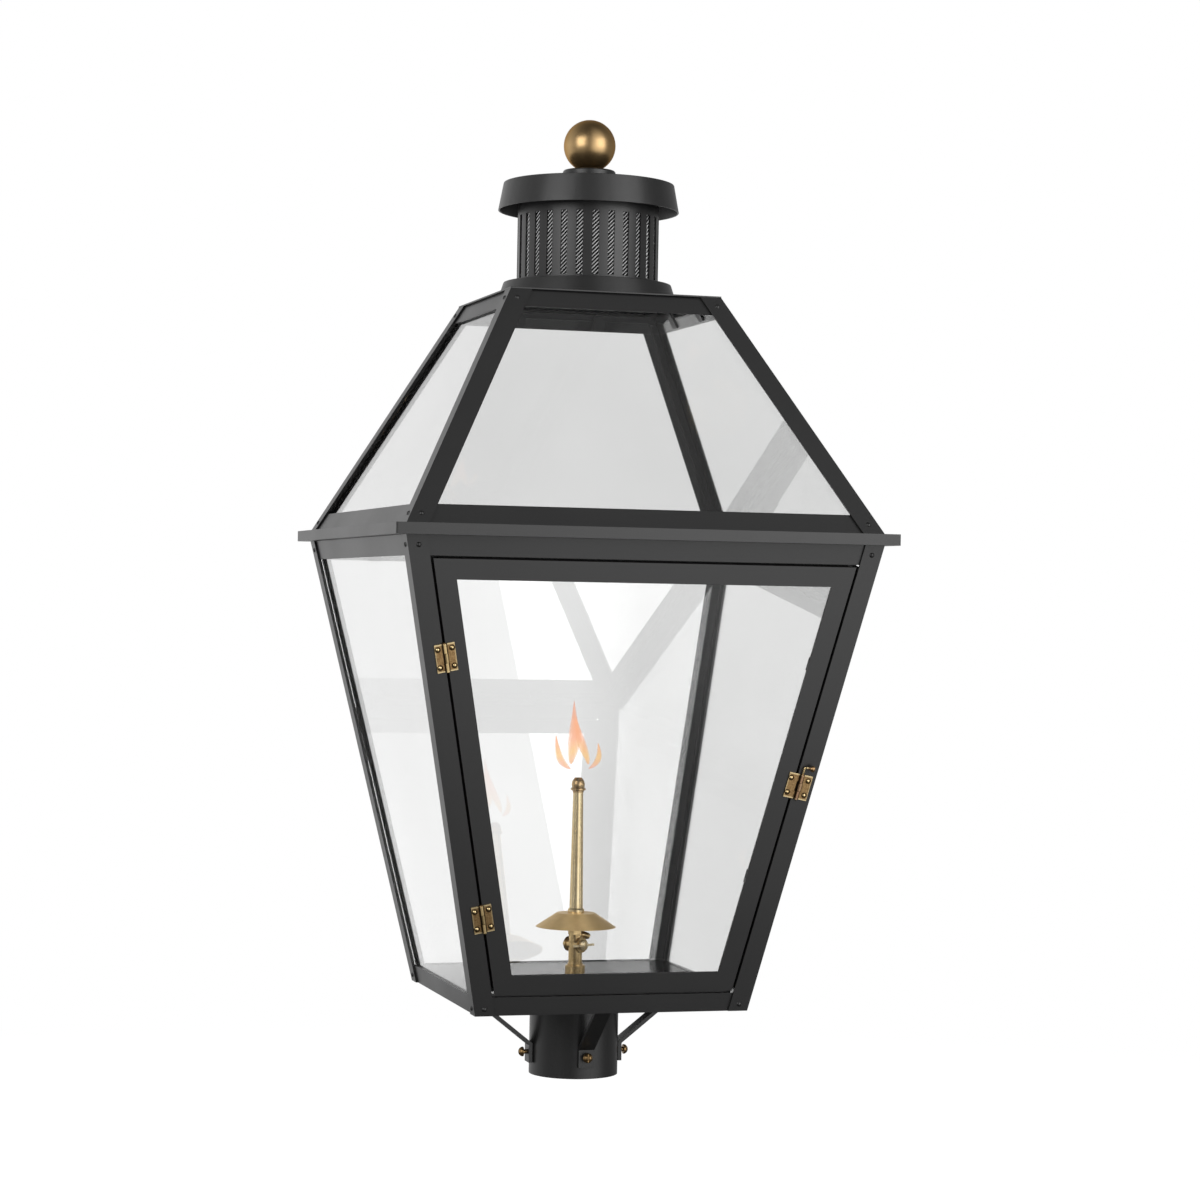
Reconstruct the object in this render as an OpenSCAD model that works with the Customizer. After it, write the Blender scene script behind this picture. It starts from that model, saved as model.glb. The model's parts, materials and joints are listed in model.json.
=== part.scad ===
// Post-mounted gas lantern: a tapered glazed body with a hinged door, a hipped glass roof,
// a slotted chimney with a ball finial, and a brass gas burner on an under-floor fitter.
// Millimetres. The origin is the centre of the fitter's mouth, +Z is up, the door faces -Y.

/* [Fitter] */
// Outside diameter of the fitter tube
fitter_od = 82.6; // [80:0.1:88]
// Wall of the fitter tube
fitter_wall = 2.2; // [1.5:0.1:3]
// Height of the tube mouth below the bottom edge of the body
fitter_drop = 72; // [66:1:90]
// Depth of the socket that takes the post
fitter_seat = 46; // [40:1:50]
// Width of the shoulder that stops the post
fitter_stop = 1.5; // [1:0.1:3]
// Thickness of the brace straps
brace_t = 3.5; // [2.5:0.1:4]
// Width of the brace straps
brace_w = 15; // [12:0.5:18]
// Height of the vertical foot of each brace
brace_foot_h = 18; // [16:0.5:22]
// Height of the foot's lower end above the tube mouth
brace_foot_z = 11; // [8:0.5:14]
// Length of the braces' top feet under the rails
brace_lap = 13; // [11:0.5:14]
// Height of the clamping screws above the tube mouth
screw_z = 20.5; // [19:0.5:23]
// Diameter of the clamping screws
screw_d = 4.2; // [3:0.1:5]
// Diameter of the screw heads
screw_head_d = 9; // [7:0.5:10]
// Depth of the screw heads
screw_head_h = 4.5; // [3:0.1:6]
// Width of the slots in the screw heads
screw_slot_w = 1.4; // [0.8:0.1:2]
// Depth of the slots in the screw heads
screw_slot_h = 1.6; // [1:0.1:2.4]
// Bare shank between the brace foot and the screw head
screw_proud = 3.6; // [2:0.2:6]

/* [Body] */
// Width of the body across its bottom edge
body_bottom_w = 253; // [240:1:270]
// Width of the body across its top edge
body_top_w = 432; // [400:1:440]
// Vertical height of the body
body_h = 421; // [390:1:450]
// Thickness of the posts, hips, rails and door sheet
sheet_t = 2; // [1.5:0.1:2.2]
// Width of each flange of a corner post
post_flange = 18; // [16:0.5:19]
// Height of the lower rails
bottom_rail_h = 16.5; // [15.5:0.5:20]
// Height of the upper rails
upper_rail_h = 17.5; // [15:0.5:20]
// Depth of the inward ledges of the rails
rail_ledge = 16; // [14:0.5:18]
// Drop from the top of a lower rail to the top of its ledge
floor_sink = 2; // [1.8:0.1:3]
// Thickness of the floor plate
floor_t = 1.5; // [1:0.1:1.6]
// Distance of the frame rivets from the corner edge
rivet_inset = 9.5; // [8:0.5:10]
// Diameter of the rivet heads
rivet_head_d = 4.6; // [3:0.1:5]
// Diameter of the rivet shanks
rivet_d = 2; // [1.6:0.1:2.4]
// Diameter of the eave bolts
bolt_d = 4; // [3:0.1:4.4]
// Diameter of the eave bolts' heads
bolt_head_d = 7; // [6:0.1:7.6]
// Height of the eave bolts' heads and nuts
bolt_head_h = 2.4; // [1.6:0.1:3]
// Distance of each eave bolt from the middle of its side
bolt_reach = 108; // [70:1:130]

/* [Glass] */
// Thickness of the glass
glass_t = 3; // [2:0.5:4]
// Distance of a pane's side edge from the corner edge
pane_inset = 13; // [12.5:0.5:14]
// Thickness of the pane clips
clip_t = 1.2; // [0.8:0.1:1.5]
// Width of the pane clips
clip_w = 12; // [8:1:18]
// Overlap of a clip on the glass
clip_lap = 9; // [6:0.5:12]

/* [Door] */
// Gap round the door at the posts
door_gap_side = 2.5; // [2.2:0.1:3.2]
// Gap above and below the door
door_gap_end = 2.5; // [2.4:0.1:3.5]
// Width of the door members
door_member = 18; // [16:0.5:22]
// Depth of the door's outer lip behind its face
door_lip = 8; // [7:0.5:10]
// Thickness of the door's outer lip
door_lip_t = 1.6; // [1.2:0.1:2]
// Open length at each corner of the lip, where its sides are folded
lip_relief = 5; // [4:0.5:7]
// Overlap of the door glass behind the members
door_glass_lap = 7; // [5:0.5:8]
// Overlap of the door's clips on its glass
door_clip_lap = 6; // [4:0.5:8]
// Overlap of the door stops behind the door's lip
stop_lap = 4; // [3:0.5:5]

/* [Hinges] */
// Height of the lower hinge's middle up the front face
hinge_low = 90; // [70:1:140]
// Height of the upper hinge's middle up the front face
hinge_high = 324; // [280:1:360]
// Length of a hinge along its pin
hinge_h = 25; // [20:0.5:32]
// Reach of each leaf from the pin line
leaf_reach = 9; // [8:0.5:10]
// Thickness of the brass leaves
leaf_t = 1.2; // [0.8:0.1:1.4]
// Diameter of the hinge pins
pin_d = 2; // [1.6:0.1:2.2]
// Wall of a rolled knuckle round its pin
knuckle_wall = 0.8; // [0.7:0.1:1.2]
// Distance between the two rivets of a leaf
leaf_rivet_gap = 16; // [12:0.5:18]
// Distance of the leaf rivets from the pin line
leaf_rivet_reach = 6.3; // [5.5:0.1:7]
// Diameter of the domed heads on the leaves
leaf_rivet_head_d = 3.6; // [3:0.1:4]

/* [Latch] */
// Height of the latch's middle up the front face
latch_v = 210; // [160:1:260]
// Length of the latch along its pin
latch_h = 23; // [20:0.5:28]
// Distance between the two rivets of a latch leaf
latch_rivet_gap = 13.5; // [11:0.5:15]
// Distance of the post leaf's rivets from its edge
latch_rivet_edge = 3.4; // [3:0.1:4]
// Distance of the latch pin from the middle of the door gap
latch_shift = 5; // [4:0.1:5.5]
// Reach of the latch's door leaf from the pin
latch_door_reach = 12; // [11.5:0.1:13]
// Reach of the latch's post leaf from the pin
latch_post_reach = 10.4; // [9.5:0.1:11]
// Rise of the latch pin above the leaves
latch_pin_rise = 7; // [5:0.5:10]
// Length of the latch pin's bent arm
latch_arm = 4; // [3.6:0.1:6]
// Turn of the latch pin's arm away from the face
latch_arm_turn = 26; // [10:1:45]
// Diameter of the latch pin's knob at its broad end
knob_d = 5.2; // [4:0.2:6]
// Length of the latch pin's knob
knob_len = 6.2; // [5:0.2:8]

/* [Eave and roof] */
// Overhang of the eave past the top of the body
eave_overhang = 11; // [6.5:0.5:19]
// Height of the eave
eave_h = 10; // [8:0.5:14]
// Reach of the eave's strips behind the middle of its bolts
eave_lap = 5.9; // [4.5:0.1:8]
// Radius of the eave's corners seen from above
eave_corner_r = 1.5; // [1:0.5:4]
// Width of the roof across its top edge
roof_top_w = 198; // [190:1:220]
// Vertical height of the roof
roof_h = 214; // [190:1:240]
// Width of each flange of a roof hip
hip_flange = 20; // [18:0.5:22]
// Height of the roof's lower rails
roof_rail_h = 16.5; // [15:0.5:20]
// Thickness of the top plate
top_plate_t = 1.5; // [1:0.1:2.5]
// Bore of the flue tube in the top plate
flue_d = 104; // [96:1:110]
// Wall of the flue tube
flue_wall = 1.2; // [1:0.1:1.6]
// Height of the flue tube above the top plate
flue_rise = 85; // [80:0.5:88]

/* [Chimney] */
// Diameter of the chimney base at its foot
vent_base_d = 166.6; // [160:0.2:172]
// Diameter of the chimney base at its shoulder
vent_shoulder_d = 156.2; // [150:0.2:158]
// Height of the chimney base
vent_base_h = 15.8; // [12:0.2:20]
// Outside diameter of the slotted chimney
vent_d = 131.6; // [130:0.2:136]
// Height of the slotted chimney
vent_h = 91.5; // [85:0.5:100]
// Wall of the chimney parts
vent_wall = 1.5; // [1:0.1:2]
// Number of chimney slots
slot_count = 28; // [20:1:30]
// Width of a slot
slot_w = 6.2; // [4:0.2:8]
// Height of a slot
slot_h = 58.5; // [50:0.5:62]
// Height of the slots above the chimney's foot
slot_z = 3; // [2:0.5:6]
// Turn of the slots round the chimney
slot_turn = 3; // [0:0.5:12]
// Thickness of the wire mesh liner
mesh_t = 0.6; // [0.4:0.1:1]
// Diameter of the cap at its top edge
cap_top_d = 159; // [152:0.5:166]
// Diameter of the cap at its lower edge
cap_low_d = 168.6; // [164:0.2:180]
// Height of the cap's skirt
cap_skirt_h = 25.5; // [20:0.5:30]
// Rise of the middle of the cap
cap_rise = 3.5; // [2:0.5:5]
// Width of the cap's flat ring inside the chimney
cap_flat = 6; // [4:0.5:9]
// Diameter of the finial collar
collar_d = 49.2; // [44:0.2:54]
// Height of the finial collar
collar_h = 9.5; // [6:0.5:14]
// Chamfer of the finial collar
collar_edge = 1.2; // [0.6:0.1:2]
// Diameter of the ball finial
ball_d = 48.3; // [40:0.1:56]
// Depth of the rod's hole in the ball
ball_bore = 12; // [8:0.5:18]
// Diameter of the chimney's centre rod
rod_d = 6; // [5:0.5:8]
// Width of the strap that the rod stands on
strap_w = 14; // [10:0.5:20]
// Thickness of the strap
strap_t = 3; // [2:0.1:4]
// Overlap of the strap on the top plate
strap_lap = 9; // [7:0.5:12]

/* [Burner] */
// Diameter of the gas inlet pipe
inlet_d = 12.7; // [10:0.1:14]
// Length of the inlet pipe below the floor
inlet_drop = 36; // [28:0.5:36.5]
// Diameter of the inlet's spigot
spigot_d = 12; // [9:0.1:12.4]
// Length of the inlet's spigot
spigot_h = 14; // [10:0.5:18]
// Bore of the inlet pipe
inlet_bore = 8; // [6:0.1:8.5]
// Diameter of the coupling on the floor
coupling_d = 18.4; // [17:0.1:22]
// Height of the coupling
coupling_h = 12.5; // [10:0.5:16]
// Chamfer of the coupling's top edge
coupling_edge = 0.8; // [0.4:0.1:1.2]
// Height of the valve plug's middle above the floor
valve_z = 31.5; // [28:0.5:34]
// Direction of the valve plug, turned from the front to the right
valve_yaw = 29; // [10:1:60]
// Diameter of the valve's cross barrel
barrel_d = 12; // [11.5:0.1:12.6]
// Length of the valve's cross barrel
barrel_len = 18; // [17:0.5:20]
// Diameter of the valve plug
plug_d = 6; // [5:0.1:7]
// Gas port through the valve
port_d = 4; // [2:0.1:4.4]
// Diameter of the plug's round end
plug_head_d = 9.8; // [8.6:0.1:11]
// Thickness of the plug's round end at its edge
plug_head_h = 2.6; // [2:0.1:3.4]
// Width across the wings of the valve key
key_w = 26; // [20:1:30]
// Height of the wings of the valve key
wing_h = 3.6; // [3:0.1:4.4]
// Thickness of the wings of the valve key
wing_t = 1.8; // [1.4:0.1:2.4]
// Thickness of the nut behind the valve plug
nut_h = 3; // [2.4:0.1:4]
// Width of the nut behind the valve plug across its corners
nut_d = 9.4; // [8.6:0.1:11]
// Height of the valve body above the floor
valve_top = 48; // [46:0.5:54]
// Diameter of the drip dish's rim
dish_d = 75; // [66:1:80]
// Diameter of the drip dish's flat crown
dish_crown_d = 36; // [30:1:44]
// Height of the drip dish from rim to crown
dish_h = 13; // [9:0.5:14]
// Wall of the drip dish
dish_wall = 1.2; // [0.8:0.1:1.5]
// Wall of the drip dish's boss outside the pipe
dish_boss = 1; // [0.6:0.1:2]
// Diameter of the burner tube at its foot
tube_low_d = 12.6; // [11:0.1:14]
// Diameter of the burner tube at its neck
tube_top_d = 9.4; // [8:0.1:10]
// Length of the burner tube
tube_h = 112; // [80:1:140]
// Height of the ring at the tube's foot
foot_h = 3; // [2:0.1:5]
// Width of the ring at the tube's foot outside the tube
foot_rim = 1.3; // [0.8:0.1:2]
// Bore of the burner tube
tube_bore = 5; // [4:0.1:6]
// Diameter of the burner tip at its bulge
tip_d = 12.4; // [11:0.1:15]
// Height of the burner tip
tip_h = 14; // [12:0.5:20]
// Width of the ring round the tip outside its bulge
tip_rim = 0.9; // [0.5:0.1:1.5]
// Width of the slot across the tip
tip_slot_w = 0.8; // [0.5:0.1:1.2]
// Depth of the slot across the tip
tip_slot_h = 4; // [3:0.5:4.5]

/* [Hidden] */
$fn = 64;

black = "#2b2b2d";
brass = "#a98244";
clear = [0.85, 0.9, 0.92, 0.35];
wire = "#8c8c8c";

// Small clearances, and how far a cut runs past a face
run_gap = 0.05;
seat_gap = 0.3;
mitre_gap = 0.1;
over = 1;

// Shares of a rivet's head and shank: the head's rise, the tail's diameter and the tail's length
rivet_rise = 0.3;
tail_wide = 1.5;
tail_long = 0.4;

// Middle of the rail strips' layer, in sheet layers behind the outer face
strip_middle = 1.5;

// Shares of small turned forms: the knuckles' end domes, the knob's neck and the wing's middle
knuckle_dome = 0.6;
knob_neck = 0.6;
wing_middle = 0.8;

// Places of the clips as shares of a side's half width and of the door's height
clip_spread = 0.7;
high_clip_spread = 0.4;
door_clip_levels = [0.25, 0.75];
end_clip_spread = 0.5;

// Levels, from the fitter's mouth up
body_z = fitter_drop;
ledge_z = body_z + bottom_rail_h - floor_sink;
floor_z = ledge_z + floor_t;
eave_z = body_z + body_h;
roof_z = eave_z + eave_h;
roof_top_z = roof_z + roof_h;
vent_z = roof_top_z + top_plate_t;
shoulder_z = vent_z + vent_base_h;
cap_z = shoulder_z + vent_h;
collar_z = cap_z + vent_wall + cap_rise;
ball_flat = 1;
ball_z = collar_z + collar_h + ball_d / 2 - ball_flat;

// Half widths and leans of the body and the roof
body_low = body_bottom_w / 2;
body_high = body_top_w / 2;
roof_high = roof_top_w / 2;
body_lean = atan((body_high - body_low) / body_h);
roof_lean = atan((body_high - roof_high) / roof_h);
face_len = sqrt(pow(body_h, 2) + pow(body_high - body_low, 2));
face_slope = (body_high - body_low) / face_len;
edge_lean = atan(face_slope);
eave_w = body_top_w + 2 * eave_overhang;
reach = eave_w;

// Half width of the outer faces at a height, and across the front face at a length up it
function body_half(z) = body_low + (body_high - body_low) * (z - body_z) / body_h;
function roof_half(z) = body_high + (roof_high - body_high) * (z - roof_z) / roof_h;
function face_half(v) = body_low + face_slope * v;

// Horizontal depths of the sheet layers behind the outer faces
body_skin = sheet_t / cos(body_lean);
roof_skin = sheet_t / cos(roof_lean);
body_pane = glass_t / cos(body_lean);
roof_pane = glass_t / cos(roof_lean);
body_clip = clip_t / cos(body_lean);
roof_clip = clip_t / cos(roof_lean);

// Square solid whose half width runs from w0 at z0 to w1 at z1
module taper(z0, z1, w0, w1) {
    outline = [[-w0, z0], [w0, z0], [w1, z1], [-w1, z1]];
    intersection() {
        rotate([90, 0, 0])
            linear_extrude(2 * reach, center = true) polygon(outline);
        rotate([90, 0, 90])
            linear_extrude(2 * reach, center = true) polygon(outline);
    }
}

// Hollow square layer of the body between two depths behind its outer faces
module body_layer(z0, z1, near, far) {
    difference() {
        taper(z0, z1, body_half(z0) - near, body_half(z1) - near);
        taper(z0 - over, z1 + over, body_half(z0 - over) - far, body_half(z1 + over) - far);
    }
}

// The same for the roof
module roof_layer(z0, z1, near, far) {
    difference() {
        taper(z0, z1, roof_half(z0) - near, roof_half(z1) - near);
        taper(z0 - over, z1 + over, roof_half(z0 - over) - far, roof_half(z1 + over) - far);
    }
}

// Flat square ring between two half widths
module square_ring(z0, z1, outer, inner) {
    translate([0, 0, z0])
        linear_extrude(z1 - z0)
            difference() {
                square(2 * outer, center = true);
                square(2 * inner, center = true);
            }
}

// Quarter of the plan towards the front, mitred at its corners
module front_quarter(gap) {
    linear_extrude(2 * roof_top_z, center = true)
        polygon([[0, -gap], [reach, -reach - gap], [-reach, -reach - gap]]);
}

// Turn a front piece to its own side: 0 front, 1 right, 2 back, 3 left
module on_side(side) {
    rotate([0, 0, 90 * side]) children();
}

// Local frame of the front face: x across, z up the slope, -y out of the face
module on_front() {
    translate([0, -body_low, body_z]) rotate([body_lean, 0, 0]) children();
}

// Upright plate that stands in the x-z plane, from y0 to y1
module upright(y0, y1) {
    translate([0, y1, 0]) rotate([90, 0, 0]) linear_extrude(y1 - y0) children();
}

// Outline of a bent strap of thickness t along a path, with mitred bends
function normal_at(a, b) = [b[1] - a[1], a[0] - b[0]] / norm(b - a);
function bend(n0, n1, t) = (n0 + n1) * t / (1 + n0 * n1);
function strap_side(p, t) = [for (i = [0 : len(p) - 1])
    i == 0 ? p[0] + normal_at(p[0], p[1]) * t
    : i == len(p) - 1 ? p[i] + normal_at(p[i - 1], p[i]) * t
    : p[i] + bend(normal_at(p[i - 1], p[i]), normal_at(p[i], p[i + 1]), t)];
function strap(p, t) = concat(p, [for (i = [len(p) - 1 : -1 : 0]) strap_side(p, t)[i]]);

// Domed head with its flat side on the x-y plane
module dome(d, h) {
    ball_r = (pow(d / 2, 2) + pow(h, 2)) / (2 * h);
    rotate_extrude()
        intersection() {
            translate([0, h - ball_r]) circle(ball_r);
            square([d, h]);
        }
}

// Rivet through a stack of sheets behind a face, its domed head towards -y
module rivet(head_d, shank_d, grip) {
    rotate([90, 0, 0]) dome(head_d, head_d * rivet_rise);
    rotate([-90, 0, 0]) cylinder(d = shank_d, h = grip);
    translate([0, grip, 0]) rotate([-90, 0, 0])
        cylinder(d = shank_d * tail_wide, h = shank_d * tail_long);
}

// Places of the frame rivets on one side of the body, in world coordinates
rivet_low_z = body_z + bottom_rail_h / 2 - floor_sink;
rivet_high_z = eave_z - upper_rail_h / 2;
rivet_roof_low_z = roof_z + roof_rail_h / 2;
rivet_roof_high_z = roof_top_z - roof_rail_h / 2;

module at_body_rivets() {
    for (side = [0 : 3], z = [rivet_low_z, rivet_high_z], hand = [-1, 1])
        on_side(side)
            translate([hand * (body_half(z) - rivet_inset), -body_half(z), z])
                rotate([body_lean, 0, 0]) children();
}

module at_roof_rivets() {
    for (side = [0 : 3], z = [rivet_roof_low_z, rivet_roof_high_z], hand = [-1, 1])
        on_side(side)
            translate([hand * (roof_half(z) - rivet_inset), -roof_half(z), z])
                rotate([-roof_lean, 0, 0]) children();
}

module rivet_hole() {
    translate([0, -over, 0]) rotate([-90, 0, 0])
        cylinder(d = rivet_d + 2 * run_gap, h = 2 * sheet_t + 2 * over);
}

// Fitter tube, welded under the floor plate, with a stopped socket and four screw holes
fitter_r = fitter_od / 2;

module post_fitter() {
    color(black)
    difference() {
        cylinder(r = fitter_r, h = ledge_z, $fn = 96);
        translate([0, 0, -over])
            cylinder(r = fitter_r - fitter_wall, h = fitter_seat + over, $fn = 96);
        cylinder(r = fitter_r - fitter_wall - fitter_stop, h = ledge_z + over, $fn = 96);
        for (side = [0 : 3])
            on_side(side)
                translate([0, -fitter_r / 2, screw_z]) rotate([90, 0, 0])
                    cylinder(d = screw_d + 2 * run_gap, h = fitter_r);
    }
}

// Floor plate on the ledges of the lower rails, with the gas inlet's hole
floor_half = body_half(ledge_z) - 2 * body_skin - body_pane - seat_gap;

module floor_plate() {
    color(black)
    difference() {
        translate([0, 0, ledge_z])
            linear_extrude(floor_t) square(2 * floor_half, center = true);
        translate([0, 0, ledge_z - over])
            cylinder(d = inlet_d + 2 * run_gap, h = floor_t + 2 * over);
    }
}

// Bent strap from the tube to the ledge of the lower rail
brace_in = fitter_r;
ledge_under = ledge_z - sheet_t;
brace_top_r = body_half(ledge_under - brace_t) - 2 * body_skin - seat_gap;
brace_kink_r = brace_top_r - brace_lap;
brace_rivet_r = (brace_top_r + brace_kink_r) / 2;

module brace() {
    path = [[brace_top_r, ledge_under], [brace_kink_r, ledge_under],
        [brace_in, brace_foot_z + brace_foot_h], [brace_in, brace_foot_z]];
    difference() {
        rotate([90, 0, -90])
            linear_extrude(brace_w, center = true) polygon(strap(path, -brace_t));
        translate([0, -brace_in + over, screw_z]) rotate([90, 0, 0])
            cylinder(d = screw_d + 2 * run_gap, h = brace_t + 2 * over);
        translate([0, -brace_rivet_r, ledge_under - brace_t - over])
            cylinder(d = rivet_d + 2 * run_gap, h = brace_t + 2 * over);
    }
}

module braces() {
    color(black)
    for (side = [0 : 3])
        on_side(side) brace();
}

// Round-headed slotted clamping screws through the brace feet and the tube
module fitter_screw() {
    shank = fitter_wall + brace_t + screw_proud;
    rim_h = screw_head_h / 4;
    translate([0, -fitter_r + fitter_wall, screw_z]) rotate([90, 0, 0]) {
        cylinder(d = screw_d, h = shank);
        translate([0, 0, shank])
            difference() {
                union() {
                    cylinder(d = screw_head_d, h = rim_h);
                    translate([0, 0, rim_h]) dome(screw_head_d, screw_head_h - rim_h);
                }
                translate([0, 0, screw_head_h])
                    cube([screw_slot_w, screw_head_d + over, 2 * screw_slot_h], center = true);
            }
    }
}

module fitter_screws() {
    color(brass)
    for (side = [0 : 3])
        on_side(side) fitter_screw();
}

// Lower rail: a face strip behind the posts and an inward ledge
module bottom_rail(side) {
    inner = body_half(ledge_z) - body_skin - rail_ledge;
    color(black)
    difference() {
        intersection() {
            on_side(side) front_quarter(mitre_gap);
            union() {
                body_layer(body_z, body_z + bottom_rail_h, body_skin, 2 * body_skin);
                square_ring(ledge_under, ledge_z, body_half(ledge_under) - strip_middle * body_skin, inner);
            }
        }
        at_body_rivets() rivet_hole();
        at_brace_rivets() cylinder(d = rivet_d + 2 * run_gap, h = 2 * (sheet_t + over), center = true);
    }
}

module at_brace_rivets() {
    for (side = [0 : 3])
        on_side(side)
            translate([0, -brace_rivet_r, ledge_under]) children();
}

// Corner post: an angle whose two flanges lie in the outer faces
module corner_region(z0, z1, w0, w1, flange) {
    outline = [[-w0 - over, z0], [-w0 + flange, z0], [-w1 + flange, z1], [-w1 - over, z1]];
    intersection() {
        rotate([90, 0, 0]) linear_extrude(reach) polygon(outline);
        rotate([0, 0, -90]) rotate([90, 0, 0]) linear_extrude(reach)
            polygon([for (p = outline) [-p[0], p[1]]]);
    }
}

module corner_post(side) {
    color(black)
    difference() {
        intersection() {
            body_layer(body_z, eave_z, 0, body_skin);
            on_side(side) corner_region(body_z - over, eave_z + over,
                body_half(body_z - over), body_half(eave_z + over), post_flange);
        }
        at_body_rivets() rivet_hole();
        on_front() at_post_leaf_rivets() leaf_rivet_hole();
    }
}

// Upper rail: a face strip and an inward ledge along its top
module upper_rail(side) {
    inner = body_high - body_skin - rail_ledge;
    color(black)
    difference() {
        intersection() {
            on_side(side) front_quarter(mitre_gap);
            union() {
                body_layer(eave_z - upper_rail_h, eave_z, body_skin, 2 * body_skin);
                square_ring(eave_z - sheet_t, eave_z,
                    body_half(eave_z - sheet_t) - strip_middle * body_skin, inner);
            }
        }
        at_body_rivets() rivet_hole();
        at_eave_bolts() eave_bolt_hole();
    }
}

// Bolts that join the upper rails, the eave and the roof's lower rails
eave_bolt_r = roof_half(roof_z + sheet_t) - 2 * roof_skin - roof_pane - bolt_head_d / 2 - over;
eave_depth = eave_w / 2 - eave_bolt_r + eave_lap;

module at_eave_bolts() {
    for (side = [0 : 3], hand = [-1, 1])
        on_side(side)
            translate([hand * bolt_reach, -eave_bolt_r, eave_z - sheet_t]) children();
}

module eave_bolt_hole() {
    translate([0, 0, -over]) cylinder(d = bolt_d + 2 * run_gap, h = eave_h + 2 * sheet_t + 2 * over);
}

module eave_bolt() {
    grip = eave_h + 2 * sheet_t;
    cylinder(d = bolt_d, h = grip);
    translate([0, 0, grip]) dome(bolt_head_d, bolt_head_h);
    mirror([0, 0, 1]) cylinder(d = bolt_head_d, h = bolt_head_h, $fn = 6);
}

// Eave: a square-edged channel with its web outwards, in four mitred lengths
module eave_section() {
    difference() {
        square([eave_depth, eave_h]);
        translate([sheet_t, sheet_t]) square([eave_depth, eave_h - 2 * sheet_t]);
    }
}

module eave_plan() {
    half = eave_w / 2;
    corner = half - eave_corner_r;
    square([2 * half, 2 * corner], center = true);
    square([2 * corner, 2 * half], center = true);
    for (x = [-corner, corner], y = [-corner, corner])
        translate([x, y]) circle(eave_corner_r);
}

module eave() {
    half = eave_w / 2;
    color(black)
    difference() {
        for (side = [0 : 3])
            on_side(side)
                intersection() {
                    translate([-half, -half, eave_z]) rotate([90, 0, 90])
                        linear_extrude(2 * half) eave_section();
                    front_quarter(mitre_gap);
                    translate([0, 0, eave_z - over]) linear_extrude(eave_h + 2 * over) eave_plan();
                }
        at_eave_bolts() eave_bolt_hole();
    }
}

// Roof hip: an angle like a post, leaning inwards
module roof_hip(side) {
    color(black)
    difference() {
        intersection() {
            roof_layer(roof_z, roof_top_z, 0, roof_skin);
            on_side(side) corner_region(roof_z - over, roof_top_z + over,
                roof_half(roof_z - over), roof_half(roof_top_z + over), hip_flange);
        }
        at_roof_rivets() rivet_hole();
    }
}

module roof_base_rails() {
    inner = body_high - roof_skin - rail_ledge - sheet_t;
    color(black)
    for (side = [0 : 3])
        difference() {
            intersection() {
                on_side(side) front_quarter(mitre_gap);
                union() {
                    roof_layer(roof_z, roof_z + roof_rail_h, roof_skin, 2 * roof_skin);
                    square_ring(roof_z, roof_z + sheet_t,
                        roof_half(roof_z + sheet_t) - strip_middle * roof_skin, inner);
                }
            }
            at_roof_rivets() rivet_hole();
            at_eave_bolts() eave_bolt_hole();
        }
}

module roof_top_rails() {
    inner = roof_high - roof_skin - rail_ledge;
    color(black)
    for (side = [0 : 3])
        difference() {
            intersection() {
                on_side(side) front_quarter(mitre_gap);
                union() {
                    roof_layer(roof_top_z - roof_rail_h, roof_top_z, roof_skin, 2 * roof_skin);
                    square_ring(roof_top_z - sheet_t, roof_top_z,
                        roof_high - strip_middle * roof_skin, inner);
                }
            }
            at_roof_rivets() rivet_hole();
        }
}

// Flat panes behind the rails
pane_top_z = eave_z - upper_rail_h + clip_lap;
roof_pane_top_z = roof_top_z - roof_rail_h + clip_lap;

module pane_outline(z0, z1, w0, w1) {
    rotate([90, 0, 0]) linear_extrude(reach)
        polygon([[-w0, z0], [w0, z0], [w1, z1], [-w1, z1]]);
}

module body_pane(side) {
    color(clear)
    on_side(side)
        intersection() {
            body_layer(ledge_z, pane_top_z, 2 * body_skin, 2 * body_skin + body_pane);
            pane_outline(ledge_z - over, pane_top_z + over,
                body_half(ledge_z - over) - pane_inset, body_half(pane_top_z + over) - pane_inset);
        }
}

module roof_glass(side) {
    low = roof_z + sheet_t;
    color(clear)
    on_side(side)
        intersection() {
            roof_layer(low, roof_pane_top_z, 2 * roof_skin, 2 * roof_skin + roof_pane);
            pane_outline(low - over, roof_pane_top_z + over,
                roof_half(low - over) - pane_inset, roof_half(roof_pane_top_z + over) - pane_inset);
        }
}

// Angle clips that hold the panes: one leg on a ledge, one on the glass
module body_clip() {
    top = eave_z - sheet_t;
    low = pane_top_z - clip_lap;
    near = 2 * body_skin + body_pane;
    far = near + body_clip;
    rotate([90, 0, -90])
        linear_extrude(clip_w, center = true)
            polygon([[body_half(low) - near, low], [body_half(top) - near, top],
                [body_half(top) - near - clip_lap, top], [body_half(top) - near - clip_lap, top - clip_t],
                [body_half(top - clip_t) - far, top - clip_t], [body_half(low) - far, low]]);
}

module roof_clip_high() {
    top = roof_top_z - sheet_t;
    low = roof_pane_top_z - clip_lap;
    near = 2 * roof_skin + roof_pane;
    far = near + roof_clip;
    rotate([90, 0, -90])
        linear_extrude(clip_w, center = true)
            polygon([[roof_half(low) - near, low], [roof_half(top) - near, top],
                [roof_half(top) - near - clip_lap, top], [roof_half(top) - near - clip_lap, top - clip_t],
                [roof_half(top - clip_t) - far, top - clip_t], [roof_half(low) - far, low]]);
}

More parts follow.
